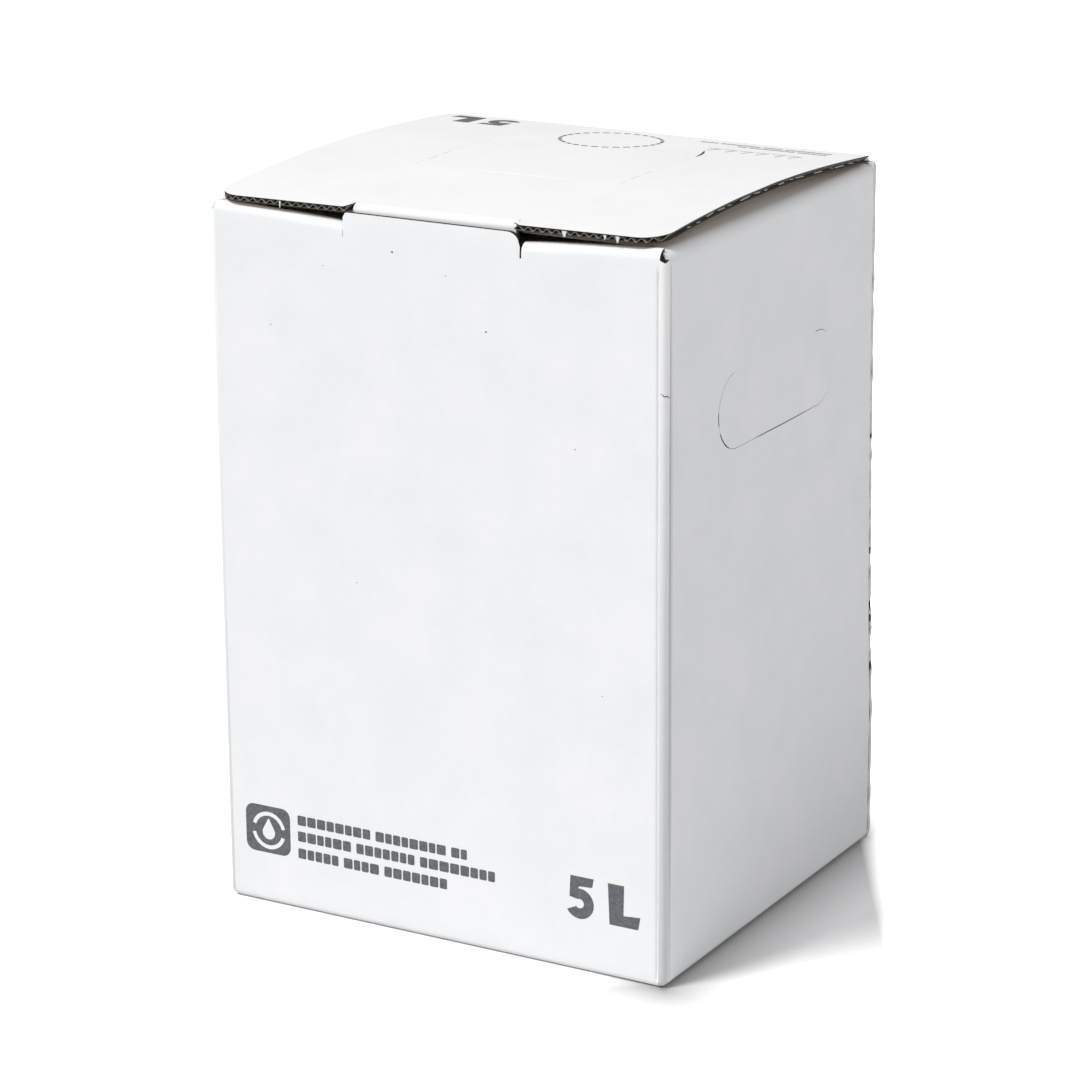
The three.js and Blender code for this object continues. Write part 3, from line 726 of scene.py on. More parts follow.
def add_hand_hold(sheet, place, columns, cuts):
    """The hand hold's flap, still shut, inside its knife line, and the wall round it."""
    us = [u for u in columns if abs(u) <= HAND_WINDOW + TINY]
    zs = [z for z in WALL_ROWS if HAND_LOW - TINY <= z <= HAND_HIGH + TINY]
    ring = [(us[-1], z) for z in zs] + [(u, zs[-1]) for u in reversed(us[:-1])]
    ring += [(us[0], z) for z in reversed(zs[:-1])] + [(u, zs[0]) for u in us[1:-1]]
    turns = [atan2(z - HAND_MIDDLE, u) for u, z in ring]
    inner = []
    for k, (corner, turn) in enumerate(zip(ring, turns)):
        following = (k + 1) % len(ring)
        step = (turns[following] - turn) % (2 * pi) / 6
        outer = []
        for i in range(7):
            angle = turn + step * i
            half = between(cuts, degrees(angle) % 360) / 2
            outer.append(stadium(angle, HAND_HEIGHT / 2 + half))
            if i < 6:
                inner.append(stadium(angle, HAND_HEIGHT / 2 - half))
        face = [ring[following], corner] + outer
        sheet.face([place(u, 0.0, z) for u, z in reversed(face)])
    sheet.face([place(u, 0.0, z) for u, z in inner])


def add_rear(sheet):
    start = -GLUE_EDGE
    levels = foot_path(BASE_FLAP_REACH) + [(0.0, z) for z in WALL_ROWS[1:-2]]
    columns = steps(start + GLUE_COLUMNS[-1], HALF_W - FOLD_R, WALL_STEP)
    columns = merged([start + v for v in GLUE_COLUMNS], columns)

    def torn(u, inward, z):
        return on_rear(u + (ragged(z) if u == start and inward == 0.0 else 0.0), inward, z)

    rows = low_rows(torn, columns, levels, BASE_FLAP_SIDE / GLUE_EDGE)
    foot = levels[-1][1]
    for share in (0.25, 0.5, 0.75, 1.0):
        rows.append([on_rear(u, 0.0, foot + (rear_top(u) - foot) * share) for u in columns])
    sheet.grid([row[:2] for row in rows], PALE_SLOT)
    sheet.grid([row[1:] for row in rows])


def rear_top(u):
    """The rear wall stands up beside the lid's fold, and is round where it meets the glue joint."""
    top = REAR_EAR_TOP if abs(u) > LID_FOLD_HALF else REAR_TOP
    return top - round_drop(-u - (GLUE_EDGE - REAR_CORNER_R), REAR_CORNER_R)


def ragged(z):
    """The raw edge of the rear wall at the glue joint is torn from mid height down."""
    depth = 0.12 * sin(z * 1.7) + 0.1 * sin(z * 0.61 + 1.3)
    if 60 < z < 172:
        depth += 0.25 * sin(z * 0.43) * sin(z * 2.9 + 0.5)
    return depth


def add_corner(sheet, cx, cy, start_angle, slot):
    """The quarter round between two walls. It tapers at its foot, and its top is notched."""
    rows = []
    for z, pull in [(0.5, 1.1), (1.0, 0.6), (1.6, 0.25)] + [(z, 0.0) for z in WALL_ROWS]:
        plan = arc(cx, cy, FOLD_R - pull, start_angle, start_angle + 90, 10)
        rows.append([(x, y, z) for x, y in plan])
    tops = [CORNER_TOP - CORNER_DIP * (1 - abs(2 * i / 10 - 1)) for i in range(11)]
    for share in (0.34, 0.67, 1.0):
        rows.append([(x, y, WALL_TOP + (top - WALL_TOP) * share) for (x, y), top in zip(plan, tops)])
    sheet.grid(rows, slot)


def add_glue_tab(sheet):
    """The right wall turns the rear corner and lies glued inside the rear wall."""
    cx, cy = HALF_W - TAB_R, HALF_D - BOARD - TAB_R
    plan = arc(cx, cy, TAB_R, 0, 90, 6) + [(x, cy + TAB_R) for x in steps(cx, GLUE_TAB_END, 4.0)[1:]]
    levels = WALL_ROWS + [SIDE_WALL_TOP, GLUE_TAB_TOP]
    sheet.grid([[(x, y, z) for x, y in plan] for z in levels], PALE_SLOT)


def add_inner_base_flaps(sheet):
    """The inner pair of bottom flaps lies on the outer pair."""
    ys = steps(INNER_FLAP_REAR, INNER_FLAP_FRONT, 6.0)
    for side in (-1, 1):
        xs = sorted(steps(side * INNER_FLAP_SIDE, side * INNER_FLAP_END, 6.0))
        sheet.grid([[(x, y, BOARD + 0.05) for x in xs] for y in ys])


def make_carton():
    sheet = Sheet()
    add_front(sheet)
    fold_x, fold_y = HALF_W - FOLD_R, HALF_D - FOLD_R
    add_corner(sheet, fold_x, -fold_y, -90, TORN_FOLD_SLOT)
    add_side(sheet, on_right, -fold_y, HALF_D - BOARD - TAB_R, RIGHT_CUTS)
    add_glue_tab(sheet)
    add_rear(sheet)
    add_corner(sheet, -fold_x, fold_y, 90, FOLD_SLOT)
    add_side(sheet, on_left, -fold_y, fold_y, LEFT_CUTS)
    add_corner(sheet, -fold_x, -fold_y, 180, FOLD_SLOT)
    add_inner_base_flaps(sheet)
    # Slots 1 and 10 take the raw edge with its painted shade.
    materials = [WHITE, CUT_EDGE_AND_SHADE, KRAFT, WHITE, PALE_EDGE, KRAFT]
    # Slots 6 and 9 take the fold material, with its painted highlight and shade.
    materials += [FOLD_HIGHLIGHT_AND_SHADE, PALE_EDGE, KRAFT, FOLD_HIGHLIGHT_AND_SHADE, CUT_EDGE_AND_SHADE, KRAFT]
    obj = piece("carton_board", sheet, materials, "box", 38.0, BOARD - 0.05, 2, 1, leaning)
    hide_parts("carton")


# Lid: two liners with the fluted paper between them


def wing_columns(size):
    """x from the inner end of a wing to the lid's side, closer together round the corner."""
    tip = [WING_TIP + v for v in (0.0, 0.5, 1.0, 1.6, 2.4)]
    bend = LID_HALF - LID_CORNER
    count = max(8, round(LID_CORNER * 1.6 / size))
    turned_part = [bend + LID_CORNER * sin(pi / 2 * i / count) for i in range(count + 1)]
    return merged(tip, steps(tip[-1], bend, size), turned_part)


def lid_edge(x):
    """y of the lid's front cut edge at x."""
    return LID_FRONT + round_drop(abs(x) - (LID_HALF - LID_CORNER), LID_CORNER)


def lid_point(x, y, below):
    """A point below the lid's upper face, which has two shallow score lines across the tap door."""
    front = 0.2 * bell(y - DOOR_FRONT, DOOR_SCORE_WIDTH)
    rear = 0.09 * bell(y - DOOR_SCORE, DOOR_SCORE_WIDTH)
    fade = exp(-((x - 3) / 24) ** 4)
    return (x, y, lid_top(x, y) - (front + rear) * fade - below)


def tongue_path():
    """(y, rise, normal y, normal z) from the roll's start, down to the tongue's foot."""
    path = []
    for i in range(1, 9):
        c, s = cos(radians(90 / 8 * i)), sin(radians(90 / 8 * i))
        path.append((NOTCH_REAR - TONGUE_ROLL * s, TONGUE_ROLL * (c - 1), -s, c))
    fall = LID_TOP + lid_rise(NOTCH_REAR) - TONGUE_ROLL - TONGUE_FOOT
    for i in range(1, 8):
        share = i / 7
        path.append((TONGUE_Y + TONGUE_LEAN * share, -TONGUE_ROLL - fall * share, -1.0, -TONGUE_LEAN / fall))
    return path


def lid_sheet(size, offset):
    """One layer of the lid's board. offset(x) is its depth below the upper face."""
    sheet = Sheet()

    def row_at(y, xs):
        return [lid_point(x, y, offset(x)) for x in xs]

    wing = wing_columns(size)
    slit = [TONGUE_HALF, WING_TIP]
    middle = steps(-TONGUE_HALF, TONGUE_HALF, size)
    across = merged([-x for x in wing], [-x for x in slit], middle, slit, wing)
    fine = [y + 0.35 * i for y in (DOOR_FRONT, DOOR_SCORE) for i in range(-5, 6)]
    levels = merged(steps(WING_REAR, DOOR_FRONT - 2, 5.0), fine, steps(DOOR_SCORE + 2, LID_REAR, 5.0))
    sheet.grid([row_at(y, across) for y in levels])
    for side in (-1, 1):
        xs = sorted(side * x for x in wing)
        rows = []
        for share in (0.0, 0.08, 0.2, 0.4, 0.55, 0.7, 1.0):
            ys = [lid_edge(x) + (WING_REAR - lid_edge(x)) * share for x in xs]
            rows.append([lid_point(x, y, offset(x)) for x, y in zip(xs, ys)])
        sheet.grid(rows)
    root = merged([-x for x in slit], middle, slit)
    sheet.grid([row_at(y, root) for y in (NOTCH_REAR, WING_REAR)])
    rows = []
    for y, rise, ny, nz in reversed(tongue_path()):
        row = []
        for x in middle:
            below = offset(x)
            row.append((x, y - ny * below, lid_top(x, NOTCH_REAR) + rise - nz * below))
        rows.append(row)
    sheet.grid(rows + [row_at(NOTCH_REAR, middle)])
    return sheet


def make_lid():
    top = lid_sheet(LINER_STEP, lambda x: 0.0)
    materials = [LID_WHITE, CUT_EDGE_AND_SHADE, DARK_KRAFT]
    upper = piece("lid_upper_liner", top, materials, "lid", 40.0, LINER, 2, 1)
    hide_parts("lid")
    low = lid_sheet(LINER_STEP, lambda x: BOARD - LINER)
    lower = piece("lid_lower_liner", low, [DARK_KRAFT, CUT_EDGE_AND_SHADE, KRAFT], "lid", 40.0, LINER, 2, 1)
    swing = BOARD / 2 - LINER - MEDIUM / 2

    def wave(x):
        return BOARD / 2 - MEDIUM / 2 + swing * sin(2 * pi * x / PITCH)

    flutes = piece("lid_flutes", lid_sheet(PITCH / 8, wave), [FLUTE], "lid", 60.0, MEDIUM)
    make_lid_fold()
    make_edge_fibres()


def make_lid_fold():
    """The rolled fold between rear wall and lid."""
    sheet = Sheet()
    across = steps(-LID_FOLD_HALF, LID_FOLD_HALF, 4.0)[::-1]
    foot = REAR_TOP + 0.6
    front = LID_REAR + 0.02
    rows = [[(x, HALF_D, REAR_TOP + 0.1) for x in across]]
    for i in range(13):
        angle = radians(90 - 7.5 * i)
        y = front + (HALF_D - front) * sin(angle)
        rows.append([(x, y, foot + (lid_top(x, LID_REAR) - foot) * cos(angle)) for x in across])
    sheet.grid(rows)
    materials = [LID_WHITE, PALE_EDGE, DARK_KRAFT]
    obj = piece("lid_fold", sheet, materials, None, 40.0, BOARD - 0.1, 2, 1)
    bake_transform(obj)


def make_edge_fibres():
    """Bits of white paper that the knife left on the lid's cut edges."""
    rng = random.Random(21)
    sheet = Sheet()
    y = -60.0
    while y < LID_REAR - 6:
        long = rng.uniform(0.6, 7.0)
        depth = rng.uniform(0.8, 1.4)
        drop = rng.uniform(-0.25, 0.25)
        ends = [(y, depth), (y + long, depth + drop)]
        ring = [(v, d + FIBRE) for v, d in ends] + ends[::-1]
        block(sheet, [(LID_HALF + 0.02, v, lid_top(LID_HALF, v) - d) for v, d in ring], (-0.5, 0.0, 0.0))
        y += long + rng.uniform(0.4, 9.0)
    for x, wide, long in TORN_BITS:
        top = lid_top(x, LID_FRONT) - 0.4
        face = [(x + wide * u, LID_FRONT - out, top - long * v) for u, out, v in TORN_SHAPE]
        block(sheet, face, (0.0, 0.12, 0.0))
    obj = piece("lid_edge_fibres", sheet, [PALE_EDGE], "lid")


def block(sheet, face, shift):
    """A face given a thickness along shift."""
    sheet.prism(face, [tuple(a + b for a, b in zip(point, shift)) for point in face])


# Print, and the painted shade of knife lines, creases and a crack, lie on the board as very thin plates


def plate(sheet, outline, place, high=PRINT_HIGH, deep=0.05):
    """A flat shape of (u, v) points, counter-clockwise seen from outside."""
    sheet.prism([place(u, v, high) for u, v in outline], [place(u, v, -deep) for u, v in outline])


def front_place(u, v, out):
    return (u, -HALF_D - out, v)


def side_place(u, v, out):
    return leaning(HALF_W + out, u, v)


def lid_place(u, v, out):
    return (u, v, lid_top(u, v) + out)


def turned_lid_place(u, v, out):
    """Print on the lid reads from the rear, so it is turned half round."""
    return lid_place(-u, -v, out)


def fold_place(u, v, out):
    """A place on the near upright fold: u runs round it from the front wall to the side wall."""
    angle = -pi / 2 + u / FOLD_R
    radius = FOLD_R + out
    return (HALF_W - FOLD_R + radius * cos(angle), -HALF_D + FOLD_R + radius * sin(angle), v)


def band(cx, cy, radii, start, turn, count):
    """A stretch of a ring between two radii."""
    inner, outer = radii
    return arc(cx, cy, outer, start, start + turn, count) + arc(cx, cy, inner, start + turn, start, count)


def rounded(x0, y0, x1, y1, radius):
    corners = [(x1 - radius, y0 + radius), (x1 - radius, y1 - radius)]
    corners += [(x0 + radius, y1 - radius), (x0 + radius, y0 + radius)]
    points = []
    for i, (x, y) in enumerate(corners):
        points += arc(x, y, radius, 90 * i - 90, 90 * i, 5)
    return points


def scaled(x, y, width, height, shares):
    return [(x + width * u, y + height * v) for u, v in shares]


def figure_five(x, y, width, height):
    """The figure five, drawn from one bar, one stem and one bowl."""
    bowl = width * 0.53
    cx, cy = x + width * 0.47, y + bowl
    points = scaled(x, y, width, height, [(0.1, 0.5), (0.311, 0.47)])
    points += arc(cx, cy, bowl - height * 0.25, 112, -140, 16)
    points += arc(cx, cy, bowl, -150, 96, 20)
    return points + scaled(x, y, width, height, [(0.46, 0.77), (0.94, 0.79), (1.0, 1.0), (0.14, 1.0)])


def letter_l(x, y, width, height):
    """A heavy capital L, a little wider at the ends of its strokes."""
    shares = [(0.05, 0.0), (0.93, 0.0), (1.0, 0.3105), (0.48, 0.27), (0.5, 1.0), (0.0, 1.0)]
    return scaled(x, y, width, height, shares)


def word_marks(sheet, place, rng, x, end, y, height):
    """A row of plain heavy blocks in groups, where the photo has a line of words."""
    left_in_word = rng.randint(5, 9)
    while x < end - 0.6 * height:
        width = min(height * rng.uniform(0.7, 1.0), end - x)
        plate(sheet, rounded(x, y, x + width, y + height, height * 0.14), place)
        x += width + height * 0.15
        left_in_word -= 1
        if left_in_word == 0:
            x += height * 0.45
            left_in_word = rng.randint(4, 9)


def bar(x, width, foot, top, slant=0.0):
    """Corners of a bar, counter-clockwise. Its top may lie slant further along than its foot."""
    return [(x, foot), (x + width, foot), (x + width + slant, top), (x + slant, top)]


def make_front_print():
    """Sign, rows of words and capacity, and on the sign a drop between two arcs."""
    rng = random.Random(11)
    ink = Sheet()
    plate(ink, rounded(*SIGN_TILE), front_place)
    for row in FRONT_WORDS:
        word_marks(ink, front_place, rng, *row)
    plate(ink, figure_five(*FRONT_FIVE), front_place)
    plate(ink, letter_l(*FRONT_L), front_place)
    obj = piece("front_print", ink, [INK], "box")
    drop = Sheet()
    outline = arc(SIGN_X, DROP_Z, DROP_R, -210, 30, 16) + [(SIGN_X, DROP_Z + 5.2)]
    plate(drop, outline, front_place, 0.07)
    for start in (12, 192):
        plate(drop, band(SIGN_X, SIGN_Z, SIGN_RADII, start, 150, 24), front_place, 0.07)
    obj = piece("front_print_drop", drop, [WHITE], "box")


def make_lid_print():
    """Dashed ring and capacity, and in paler ink rows of words and six short bars."""
    rng = random.Random(5)
    ink = Sheet()
    radii = (RING_R - RING_HALF_WIDTH, RING_R + RING_HALF_WIDTH)
    for i in range(RING_DASHES):
        plate(ink, band(*RING_CENTRE, radii, 360 / RING_DASHES * i, DASH_ANGLE, 4), lid_place)
    plate(ink, figure_five(*LID_FIVE), turned_lid_place)
    plate(ink, letter_l(*LID_L), turned_lid_place)
    obj = piece("lid_print", ink, [INK], "lid")
    pale = Sheet()
    for row in LID_WORDS:
        word_marks(pale, turned_lid_place, rng, *row)
    for i in range(6):
        x = -67.0 + i * 6.0
        plate(pale, bar(x, 0.7, -50.6, -44.6, 3.0 * rng.uniform(0.4, 1.0)), turned_lid_place)
        plate(pale, bar(x + 1.2, 4.0, -50.4, -49.8), turned_lid_place)
    obj = piece("lid_marks", pale, [PALE_INK], "lid")


def ribbon(sheet, points, width, place, high, deep=0.3):
    """A narrow strip along points, tapered to nothing at both ends."""
    count = len(points)
    left, right = [], []
    for i, (u, v) in enumerate(points):
        before, after = points[max(i - 1, 0)], points[min(i + 1, count - 1)]
        du, dv = after[0] - before[0], after[1] - before[1]
        half = width / 2 * min(1.0, 0.15 + 3.2 * min(i, count - 1 - i) / count) / hypot(du, dv)
        left.append((u - dv * half, v + du * half))
        right.append((u + dv * half, v - du * half))
    for i in range(count - 1):
        plate(sheet, [right[i], right[i + 1], left[i + 1], left[i]], place, high, deep)


def make_knife_lines():
    """Painted shade in the cuts of the tap door in the lid: a dark strip along the open cut, and faint grey
    dashes.
    """
    open_cut = Sheet()
    points = [(DOOR_HALF - 0.1 * i - 0.03 * i * i, 29.0 + 1.4 * i) for i in range(11)]
    ribbon(open_cut, points, 0.9, lid_place, 0.02)
    obj = piece("tap_door_cut_shade", open_cut, [SLIT_SHADE_AND_SPECKS], "lid")
    faint = Sheet()
    for x in (-DOOR_HALF, DOOR_HALF):
        for i in range(6):
            y = DOOR_FRONT + 9 * i
            ribbon(faint, [(x, y + 1.2 * k) for k in range(6)], 0.3, lid_place, 0.015)
    obj = piece("tap_door_dash_shades", faint, [FAINT_SLIT_SHADE], "lid")


def make_fold_crease_shades():
    """Painted shade of a soft and a deeper crease on the side wall, beside the near fold: two grey strips."""
    for name, middle, width, material, high in (
        ("fold_crease_shade_soft", 1.3, 2.6, SOFT_CREASE_SHADE, 0.01),
        ("fold_crease_shade_deep", 0.9, 1.2, DEEP_CREASE_SHADE, 0.02),
    ):
        line = Sheet()
        points = [(FOLD_R - HALF_D + middle, z) for z in steps(2.6, 237.8, 8.0)]
        ribbon(line, points, width, side_place, high, 0.1)
        obj = piece(name, line, [material], "box")


def make_blemishes():
    """A crack across the near fold, drawn as a dark line of painted shade, specks on the front, a torn corner
    and a torn glue joint.
    """
    dark = Sheet()
    crack = [(0.2 + 0.42 * i, CRACK_Z - 0.16 * i + 0.22 * sin(i * 1.4)) for i in range(11)]
    ribbon(dark, crack, 0.32, fold_place, 0.03)
    for x, z, radius in SPECKS:
        plate(dark, arc(x, z, radius, 0, 324, 9), front_place)
    obj = piece("specks_and_crack", dark, [SLIT_SHADE_AND_SPECKS], "box")
    # The torn corner's raw core, darkened with the cut edge's painted shade.
    core = Sheet()
    x, y = HALF_W - FOLD_R, -HALF_D + FOLD_R
    foot = [(x - 0.3, y - 1.5, 238.8), (x + 1.6, y + 0.3, 238.8)]
    head = [(x - 0.5, y + 0.5, 242.5), (x - 0.9, y - 0.2, 242.5)]
    block(core, foot + head, (-0.3, 0.3, 0.0))
    obj = piece("torn_corner", core, [CUT_EDGE_AND_SHADE], "box")
    torn = Sheet()
    for z, long in GLUE_TEARS:
        outline = []
        for i in range(10):
            angle = 2 * pi * i / 10
            wide = 0.75 + 0.25 * sin(i * 2.3 + z)
            outline.append((HALF_D - 2.6 + wide * cos(angle), z + long / 2 * sin(angle)))
        plate(torn, outline, side_place, 0.03)
    obj = piece("torn_glue_edge", torn, [CUT_EDGE_AND_SHADE], "box")


# Bag and tap


def turned(name, profile, barrel_z, material, node, segments=72):
    """A smooth piece, turned about the gland's upright axis or, with a barrel_z, about the level barrel."""
    sheet = Sheet()
    rings = []
    for radius, along in profile if barrel_z is None else profile[::-1]:
        ring = []
        for i in range(segments):
            angle = 2 * pi * i / segments
            a, b = radius * cos(angle), radius * sin(angle)
            ring.append((a, TAP_Y + b, along) if barrel_z is None else (b, along, barrel_z + a))
        rings.append(ring + ring[:1])
    sheet.grid(rings)
    body = "tap_button" if node in ("tap_button", "tap_stem") else "box"
    obj = piece(name, sheet, [material], body, 30.0)
    if node:
        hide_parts(node)


def rounded_profile(points, radius, count=4):
    """Rounds the inner corners of an open profile."""
    result = [points[0]]
    for before, here, after in zip(points, points[1:], points[2:]):
        corner = Vector(here)
        a, b = Vector(before) - corner, Vector(after) - corner
        r = min(radius, a.length * 0.45, b.length * 0.45)
        start, end = corner + a.normalized() * r, corner + b.normalized() * r
        for i in range(count + 1):
            t = i / count
            result.append(tuple(start.lerp(corner, t).lerp(corner.lerp(end, t), t)))
    result.append(points[-1])
    return result


def make_bag():
    """The filled bag: it fills the carton, and its film is creased round the gland."""
    low, high = (Vector(v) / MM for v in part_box("oil_bag"))
    rng = random.Random(3)
    waves = [(rng.uniform(0.03, 0.09), rng.uniform(0, 6.28), rng.uniform(0, 3.14)) for _ in range(9)]
    middle, half = (low + high) / 2, (high - low) / 2
    top = 2 * half.z
    count = 160
    # Levels of the bag: the share of its full width, and the height above its foot
    levels = [(0.0, 0.0), (0.5, 0.0), (0.88, 0.0), (0.955, 1.0), (0.99, 4.5), (1.0, 10.0)]
    levels += [(1.0, v) for v in steps(10.0, top - 14.0, 12.0)[1:]]
    levels += [(0.998, top - 9.0), (0.985, top - 4.5), (0.955, top - 1.6), (0.91, top - 0.4)]
    levels += [(v, top) for v in steps(0.87, 0.0, 0.03)]
    rings = []
    for scale, rise in levels:
        power = 7.0 if scale > 0.6 else 3.0
        ring = []
        for i in range(count):
            angle = 2 * pi * i / count
            c, s = cos(angle), sin(angle)
            reach = (abs(c) ** power + abs(s) ** power) ** (-1 / power)
            x = middle.x + c * reach * half.x * scale
            y = middle.y + s * reach * half.y * scale
            dip = bag_dip(x, y, waves) * min(1.0, (1.0 - scale) * 9) if rise > half.z else 0.0
            ring.append((x, y, low.z + rise - dip))
        rings.append(ring + ring[:1])
    sheet = Sheet()
    sheet.grid(rings)
    obj = piece("oil_bag_film", sheet, [FILM], "box", 50.0)
    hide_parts("oil_bag")


def bag_dip(x, y, waves):
    """How far the bag's top lies under its highest level: the dish and the creases."""
    away = hypot(x, y - TAP_Y)
    dish = DISH_DEPTH * clamp(1 - (away - DISH_R) / DISH_SLOPE)
    crease = 0.0
    for pitch, phase, turn in waves:
        crease += 0.28 * (1 + sin((x * cos(turn) + y * sin(turn)) * pitch * 6 + phase))
    ripple = 0.5 * (1 + sin(atan2(y - TAP_Y, x) * 11)) * bell(away - 36, 9)
    return dish + (crease + ripple) * clamp((away - 25) / 6)


def make_tap():
    """The tap's parts take their places from the frame's solids."""
    low, high = (Vector(v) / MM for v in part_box("bag_gland"))
    top = low.z + FLANGE_THICK
    profile = [(GLAND_BORE, low.z), (FLANGE_R, low.z), (FLANGE_R, top), (15.2, top), (NECK_R, top + 0.4)]
    profile += [(NECK_R, high.z), (GLAND_BORE, high.z), (GLAND_BORE, low.z)]
    turned("gland", rounded_profile(profile, 0.5), None, GLAND, "bag_gland", 96)
    low, high = (Vector(v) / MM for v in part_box("seal_ring"))
    ring = arc(SEAL_R, (low.z + high.z) / 2, SEAL_ROUND, 0, 360, 16)
    turned("gland_seal", ring, None, RUBBER, "seal_ring")
    low, high = (Vector(v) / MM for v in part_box("tap_body"))
    barrel_z = high.z - BARREL_R
    make_collar(low, barrel_z)
    make_barrel(low, high, barrel_z)
    low, high = (Vector(v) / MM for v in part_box("tap_button"))
    r = (high.x - low.x) / 2
    bore, roof = r - BUTTON_WALL, low.y + BUTTON_WALL
    profile = [(0.0, low.y), (r - 0.9, low.y), (r, low.y + 0.9), (r, low.y + 3.0), (r - 0.5, low.y + 3.5)]
    profile += [(r, low.y + 4.0), (r, high.y), (bore, high.y), (bore, roof), (0.0, roof)]
    turned("button", profile, barrel_z, BUTTON, "tap_button")
    low, high = (Vector(v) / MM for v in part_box("tap_stem"))
    seat = high.y - 1.6
    profile = [(0.0, low.y), (1.8, low.y), (1.8, seat), (PLUG_R, seat), (PLUG_R - 1.0, high.y), (0.0, high.y)]
    turned("stem", profile, barrel_z, STEM, "tap_stem")
    low, high = (Vector(v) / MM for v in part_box("tap_dust_cap"))
    r = (high.x - low.x) / 2
    bore, roof = r - CAP_WALL, high.y - CAP_WALL
    profile = [(bore, low.y), (r, low.y), (r, high.y - 0.8), (r - 0.8, high.y), (0.0, high.y)]
    profile += [(0.0, roof), (bore, roof), (bore, low.y)]
    turned("dust_cap", profile, barrel_z, CAP, "tap_dust_cap")


def make_collar(low, barrel_z):
    """The tap's collar, with a row of grips round it."""
    top = barrel_z - BARREL_R + COLLAR_THICK
    roof = top - COLLAR_THICK
    profile = [(COLLAR_BORE, low.z), (COLLAR_R, low.z), (COLLAR_R, top), (9.0, top + 0.8)]
    profile += [(OUTLET_R, top + 0.8), (OUTLET_R, roof), (COLLAR_BORE, roof), (COLLAR_BORE, low.z)]
    turned("tap_collar", rounded_profile(profile, 0.7), None, TAP, "tap_body", 96)
    grips = Sheet()
    for i in range(COLLAR_GRIPS):
        angle = 2 * pi * i / COLLAR_GRIPS
        c, s = cos(angle), sin(angle)
        plan = []
        for radius, side in ((15.8, -0.5), (16.45, -0.35), (16.45, 0.35), (15.8, 0.5)):
            plan.append((c * radius - s * side, TAP_Y + s * radius + c * side))
        grips.upright(plan, low.z + 1.2, top - 1.2)
    rib = piece("tap_collar_grips", grips, [TAP], "box")


def make_barrel(low, high, barrel_z):
    """The tap's barrel with its valve seat, and a wing at either side of it."""
    start, end = low.y, high.y
    profile = [(BARREL_BORE, start), (BARREL_R - 0.6, start), (BARREL_R, start + 0.6), (BARREL_R, end - 0.6)]
    profile += [(BARREL_R - 0.6, end), (BARREL_BORE, end), (BARREL_BORE, VALVE_SEAT + 2.0)]
    profile += [(STEM_BORE, VALVE_SEAT + 2.0), (STEM_BORE, VALVE_SEAT), (BARREL_BORE, VALVE_SEAT)]
    profile.append((BARREL_BORE, start))
    turned("tap_barrel", profile, barrel_z, TAP, None)
    wings = Sheet()
    for x0, x1 in ((-high.x, -WING_ROOT), (WING_ROOT, high.x)):
        plan = rounded(x0, start + 1.0, x1, start + 1.0 + WING_DEPTH, 2.6)
        wings.upright(plan, barrel_z - WING_HALF_THICK, barrel_z + WING_HALF_THICK)
    wing = piece("tap_wings", wings, [TAP], "box")


# Stage: floor, light and camera


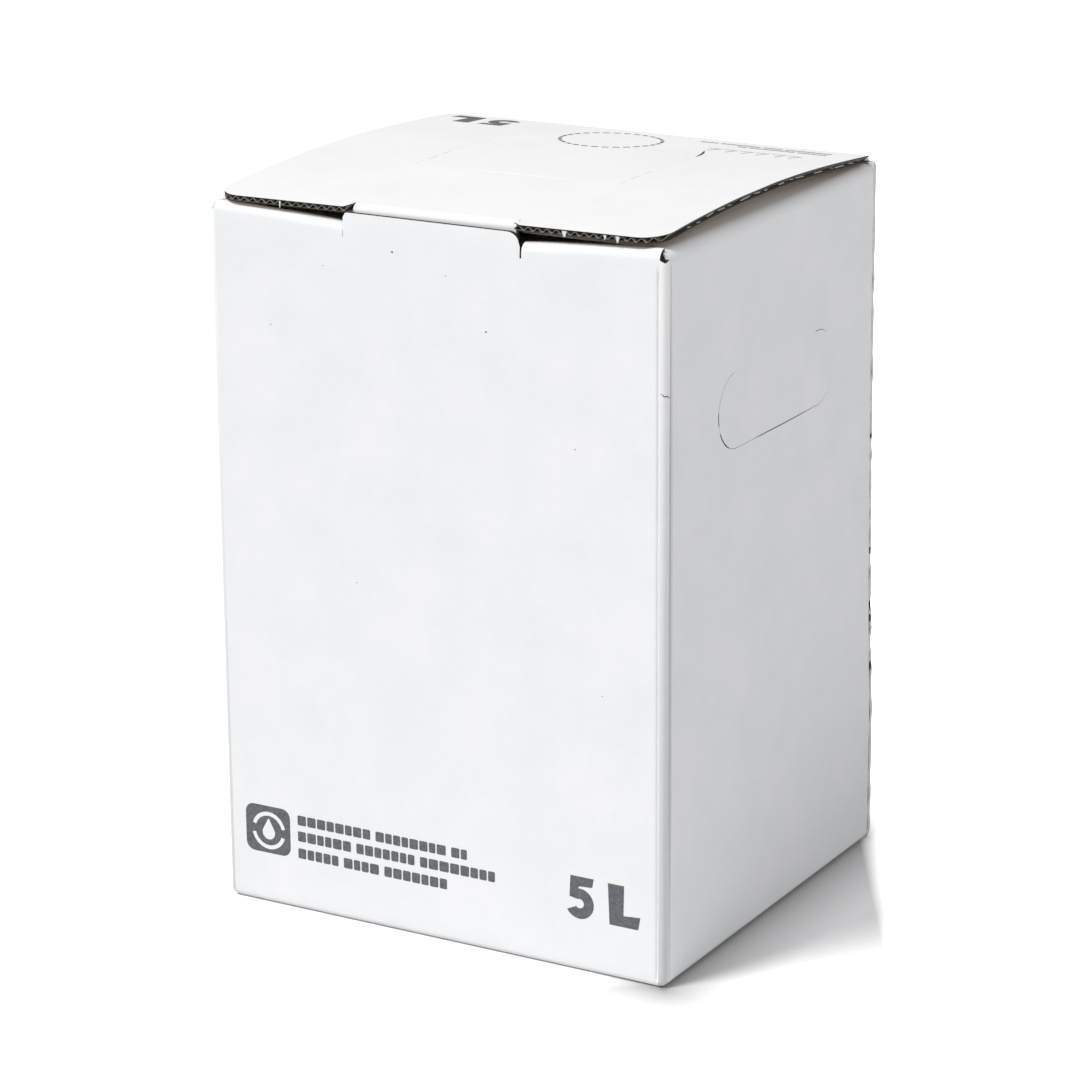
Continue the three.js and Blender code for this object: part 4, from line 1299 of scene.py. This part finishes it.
def make_stage():
    """A white floor. To the camera it carries a painted contact shadow close to the right wall, and fades to
    painted white over the cast shadow at the right.
    """
    nodes = new_material("floor_white_painted_shadow")
    calc = nodes.math
    x, y, _ = nodes.parts(nodes.place())
    beside = calc("MAXIMUM", calc("SUBTRACT", x, HALF_W * MM), 0.0)
    before = calc("MAXIMUM", calc("SUBTRACT", -HALF_D * MM, y), 0.0)
    away = calc("SQRT", calc("ADD", calc("POWER", beside, 2.0), calc("POWER", before, 2.0)))
    # Painted contact shadow: darker the closer to the right wall.
    near = calc("MINIMUM", calc("POWER", calc("DIVIDE", away, CONTACT_SHADOW_FADE * MM), 0.6), 1.0)
    under = calc("MULTIPLY", calc("SUBTRACT", (HALF_W - 2.0) * MM, x), 1 / (CONTACT_SHADOW_FADE * MM))
    near = calc("MINIMUM", calc("MAXIMUM", near, under), 1.0)
    # Painted white over the cast shadow, further to the right.
    across = calc("ADD", calc("MULTIPLY", x, 0.8666), calc("MULTIPLY", y, 0.499))
    far = calc("DIVIDE", calc("SUBTRACT", across, FADE_FROM * MM), FADE_OVER * MM)
    far = calc("MAXIMUM", calc("MINIMUM", far, 1.0), 0.0)
    tone = calc("ADD", calc("MULTIPLY", near, 0.74), 0.38)
    tone = calc("ADD", tone, calc("MULTIPLY", far, 3.0))
    grey = nodes.add("ShaderNodeCombineColor", {0: tone, 1: tone, 2: tone}).outputs[0]
    camera_ray = nodes.add("ShaderNodeLightPath").outputs["Is Camera Ray"]
    shown = {"Factor": camera_ray, "A": (0.7, 0.7, 0.7, 1.0), "B": grey}
    lift = nodes.add("ShaderNodeMix", shown, data_type="RGBA").outputs["Result"]
    nodes.set(nodes.shader, {"Base Color": lift, "Roughness": 0.9, SPECULAR: 0.0})
    floor = Sheet()
    floor.face([(x, y, FLOOR_Z) for x, y in bar(-FLOOR_HALF, 2 * FLOOR_HALF, -FLOOR_HALF, FLOOR_HALF)])
    obj = piece("floor", floor, [nodes.owner], None)
    obj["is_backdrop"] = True


def make_world():
    """Soft light on the object, and an even background for the camera."""
    world = bpy.data.worlds.new("studio")
    bpy.context.scene.world = world
    nodes = Nodes(world, "ShaderNodeMixShader", "ShaderNodeOutputWorld")
    soft = nodes.add("ShaderNodeBackground", {"Color": (0.985, 0.99, 1.0, 1.0), "Strength": WORLD_LIGHT})
    shown = nodes.add("ShaderNodeBackground", {"Strength": 1.0})
    camera_ray = nodes.add("ShaderNodeLightPath").outputs["Is Camera Ray"]
    nodes.set(nodes.shader, {0: camera_ray, 1: soft.outputs[0], 2: shown.outputs[0]})


def sun(name, towards, strength, spread):
    """Even light from the direction of towards, as wide as spread degrees."""
    data = bpy.data.lights.new(name, "SUN")
    data.energy = strength
    data.angle = radians(spread)
    new_object(name, data).rotation_euler = Vector(towards).to_track_quat("Z", "Y").to_euler()


def make_camera():
    """Solved from the carton's edges in the photograph."""
    azimuth, elevation, roll = (radians(v) for v in CAMERA_ANGLES)
    matrix = Matrix.Translation(CAMERA_PLACE) @ Matrix.Rotation(azimuth, 4, "Z")
    matrix = matrix @ Matrix.Rotation(pi / 2 - elevation, 4, "X") @ Matrix.Rotation(roll, 4, "Z")
    data = bpy.data.cameras.new("camera")
    data.lens = LENS
    data.sensor_width = 36.0
    data.clip_end = 50.0
    obj = new_object("camera", data)
    obj.matrix_world = matrix
    bpy.context.scene.camera = obj


make_camera()
make_stage()
make_world()
sun("key", (-0.55, -0.84, 1.38), 2.26, 16.0)
sun("fill", (1.0, -0.25, 0.3), 0.27, 60.0)
bpy.context.scene.view_settings.view_transform = "Standard"

make_carton()
make_lid()
make_front_print()
make_lid_print()
make_knife_lines()
make_fold_crease_shades()
make_blemishes()
make_bag()
make_tap()

boxes = {"cad": cad_box, "visual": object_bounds()}
{name: [list(corner) for corner in box] for name, box in boxes.items()}
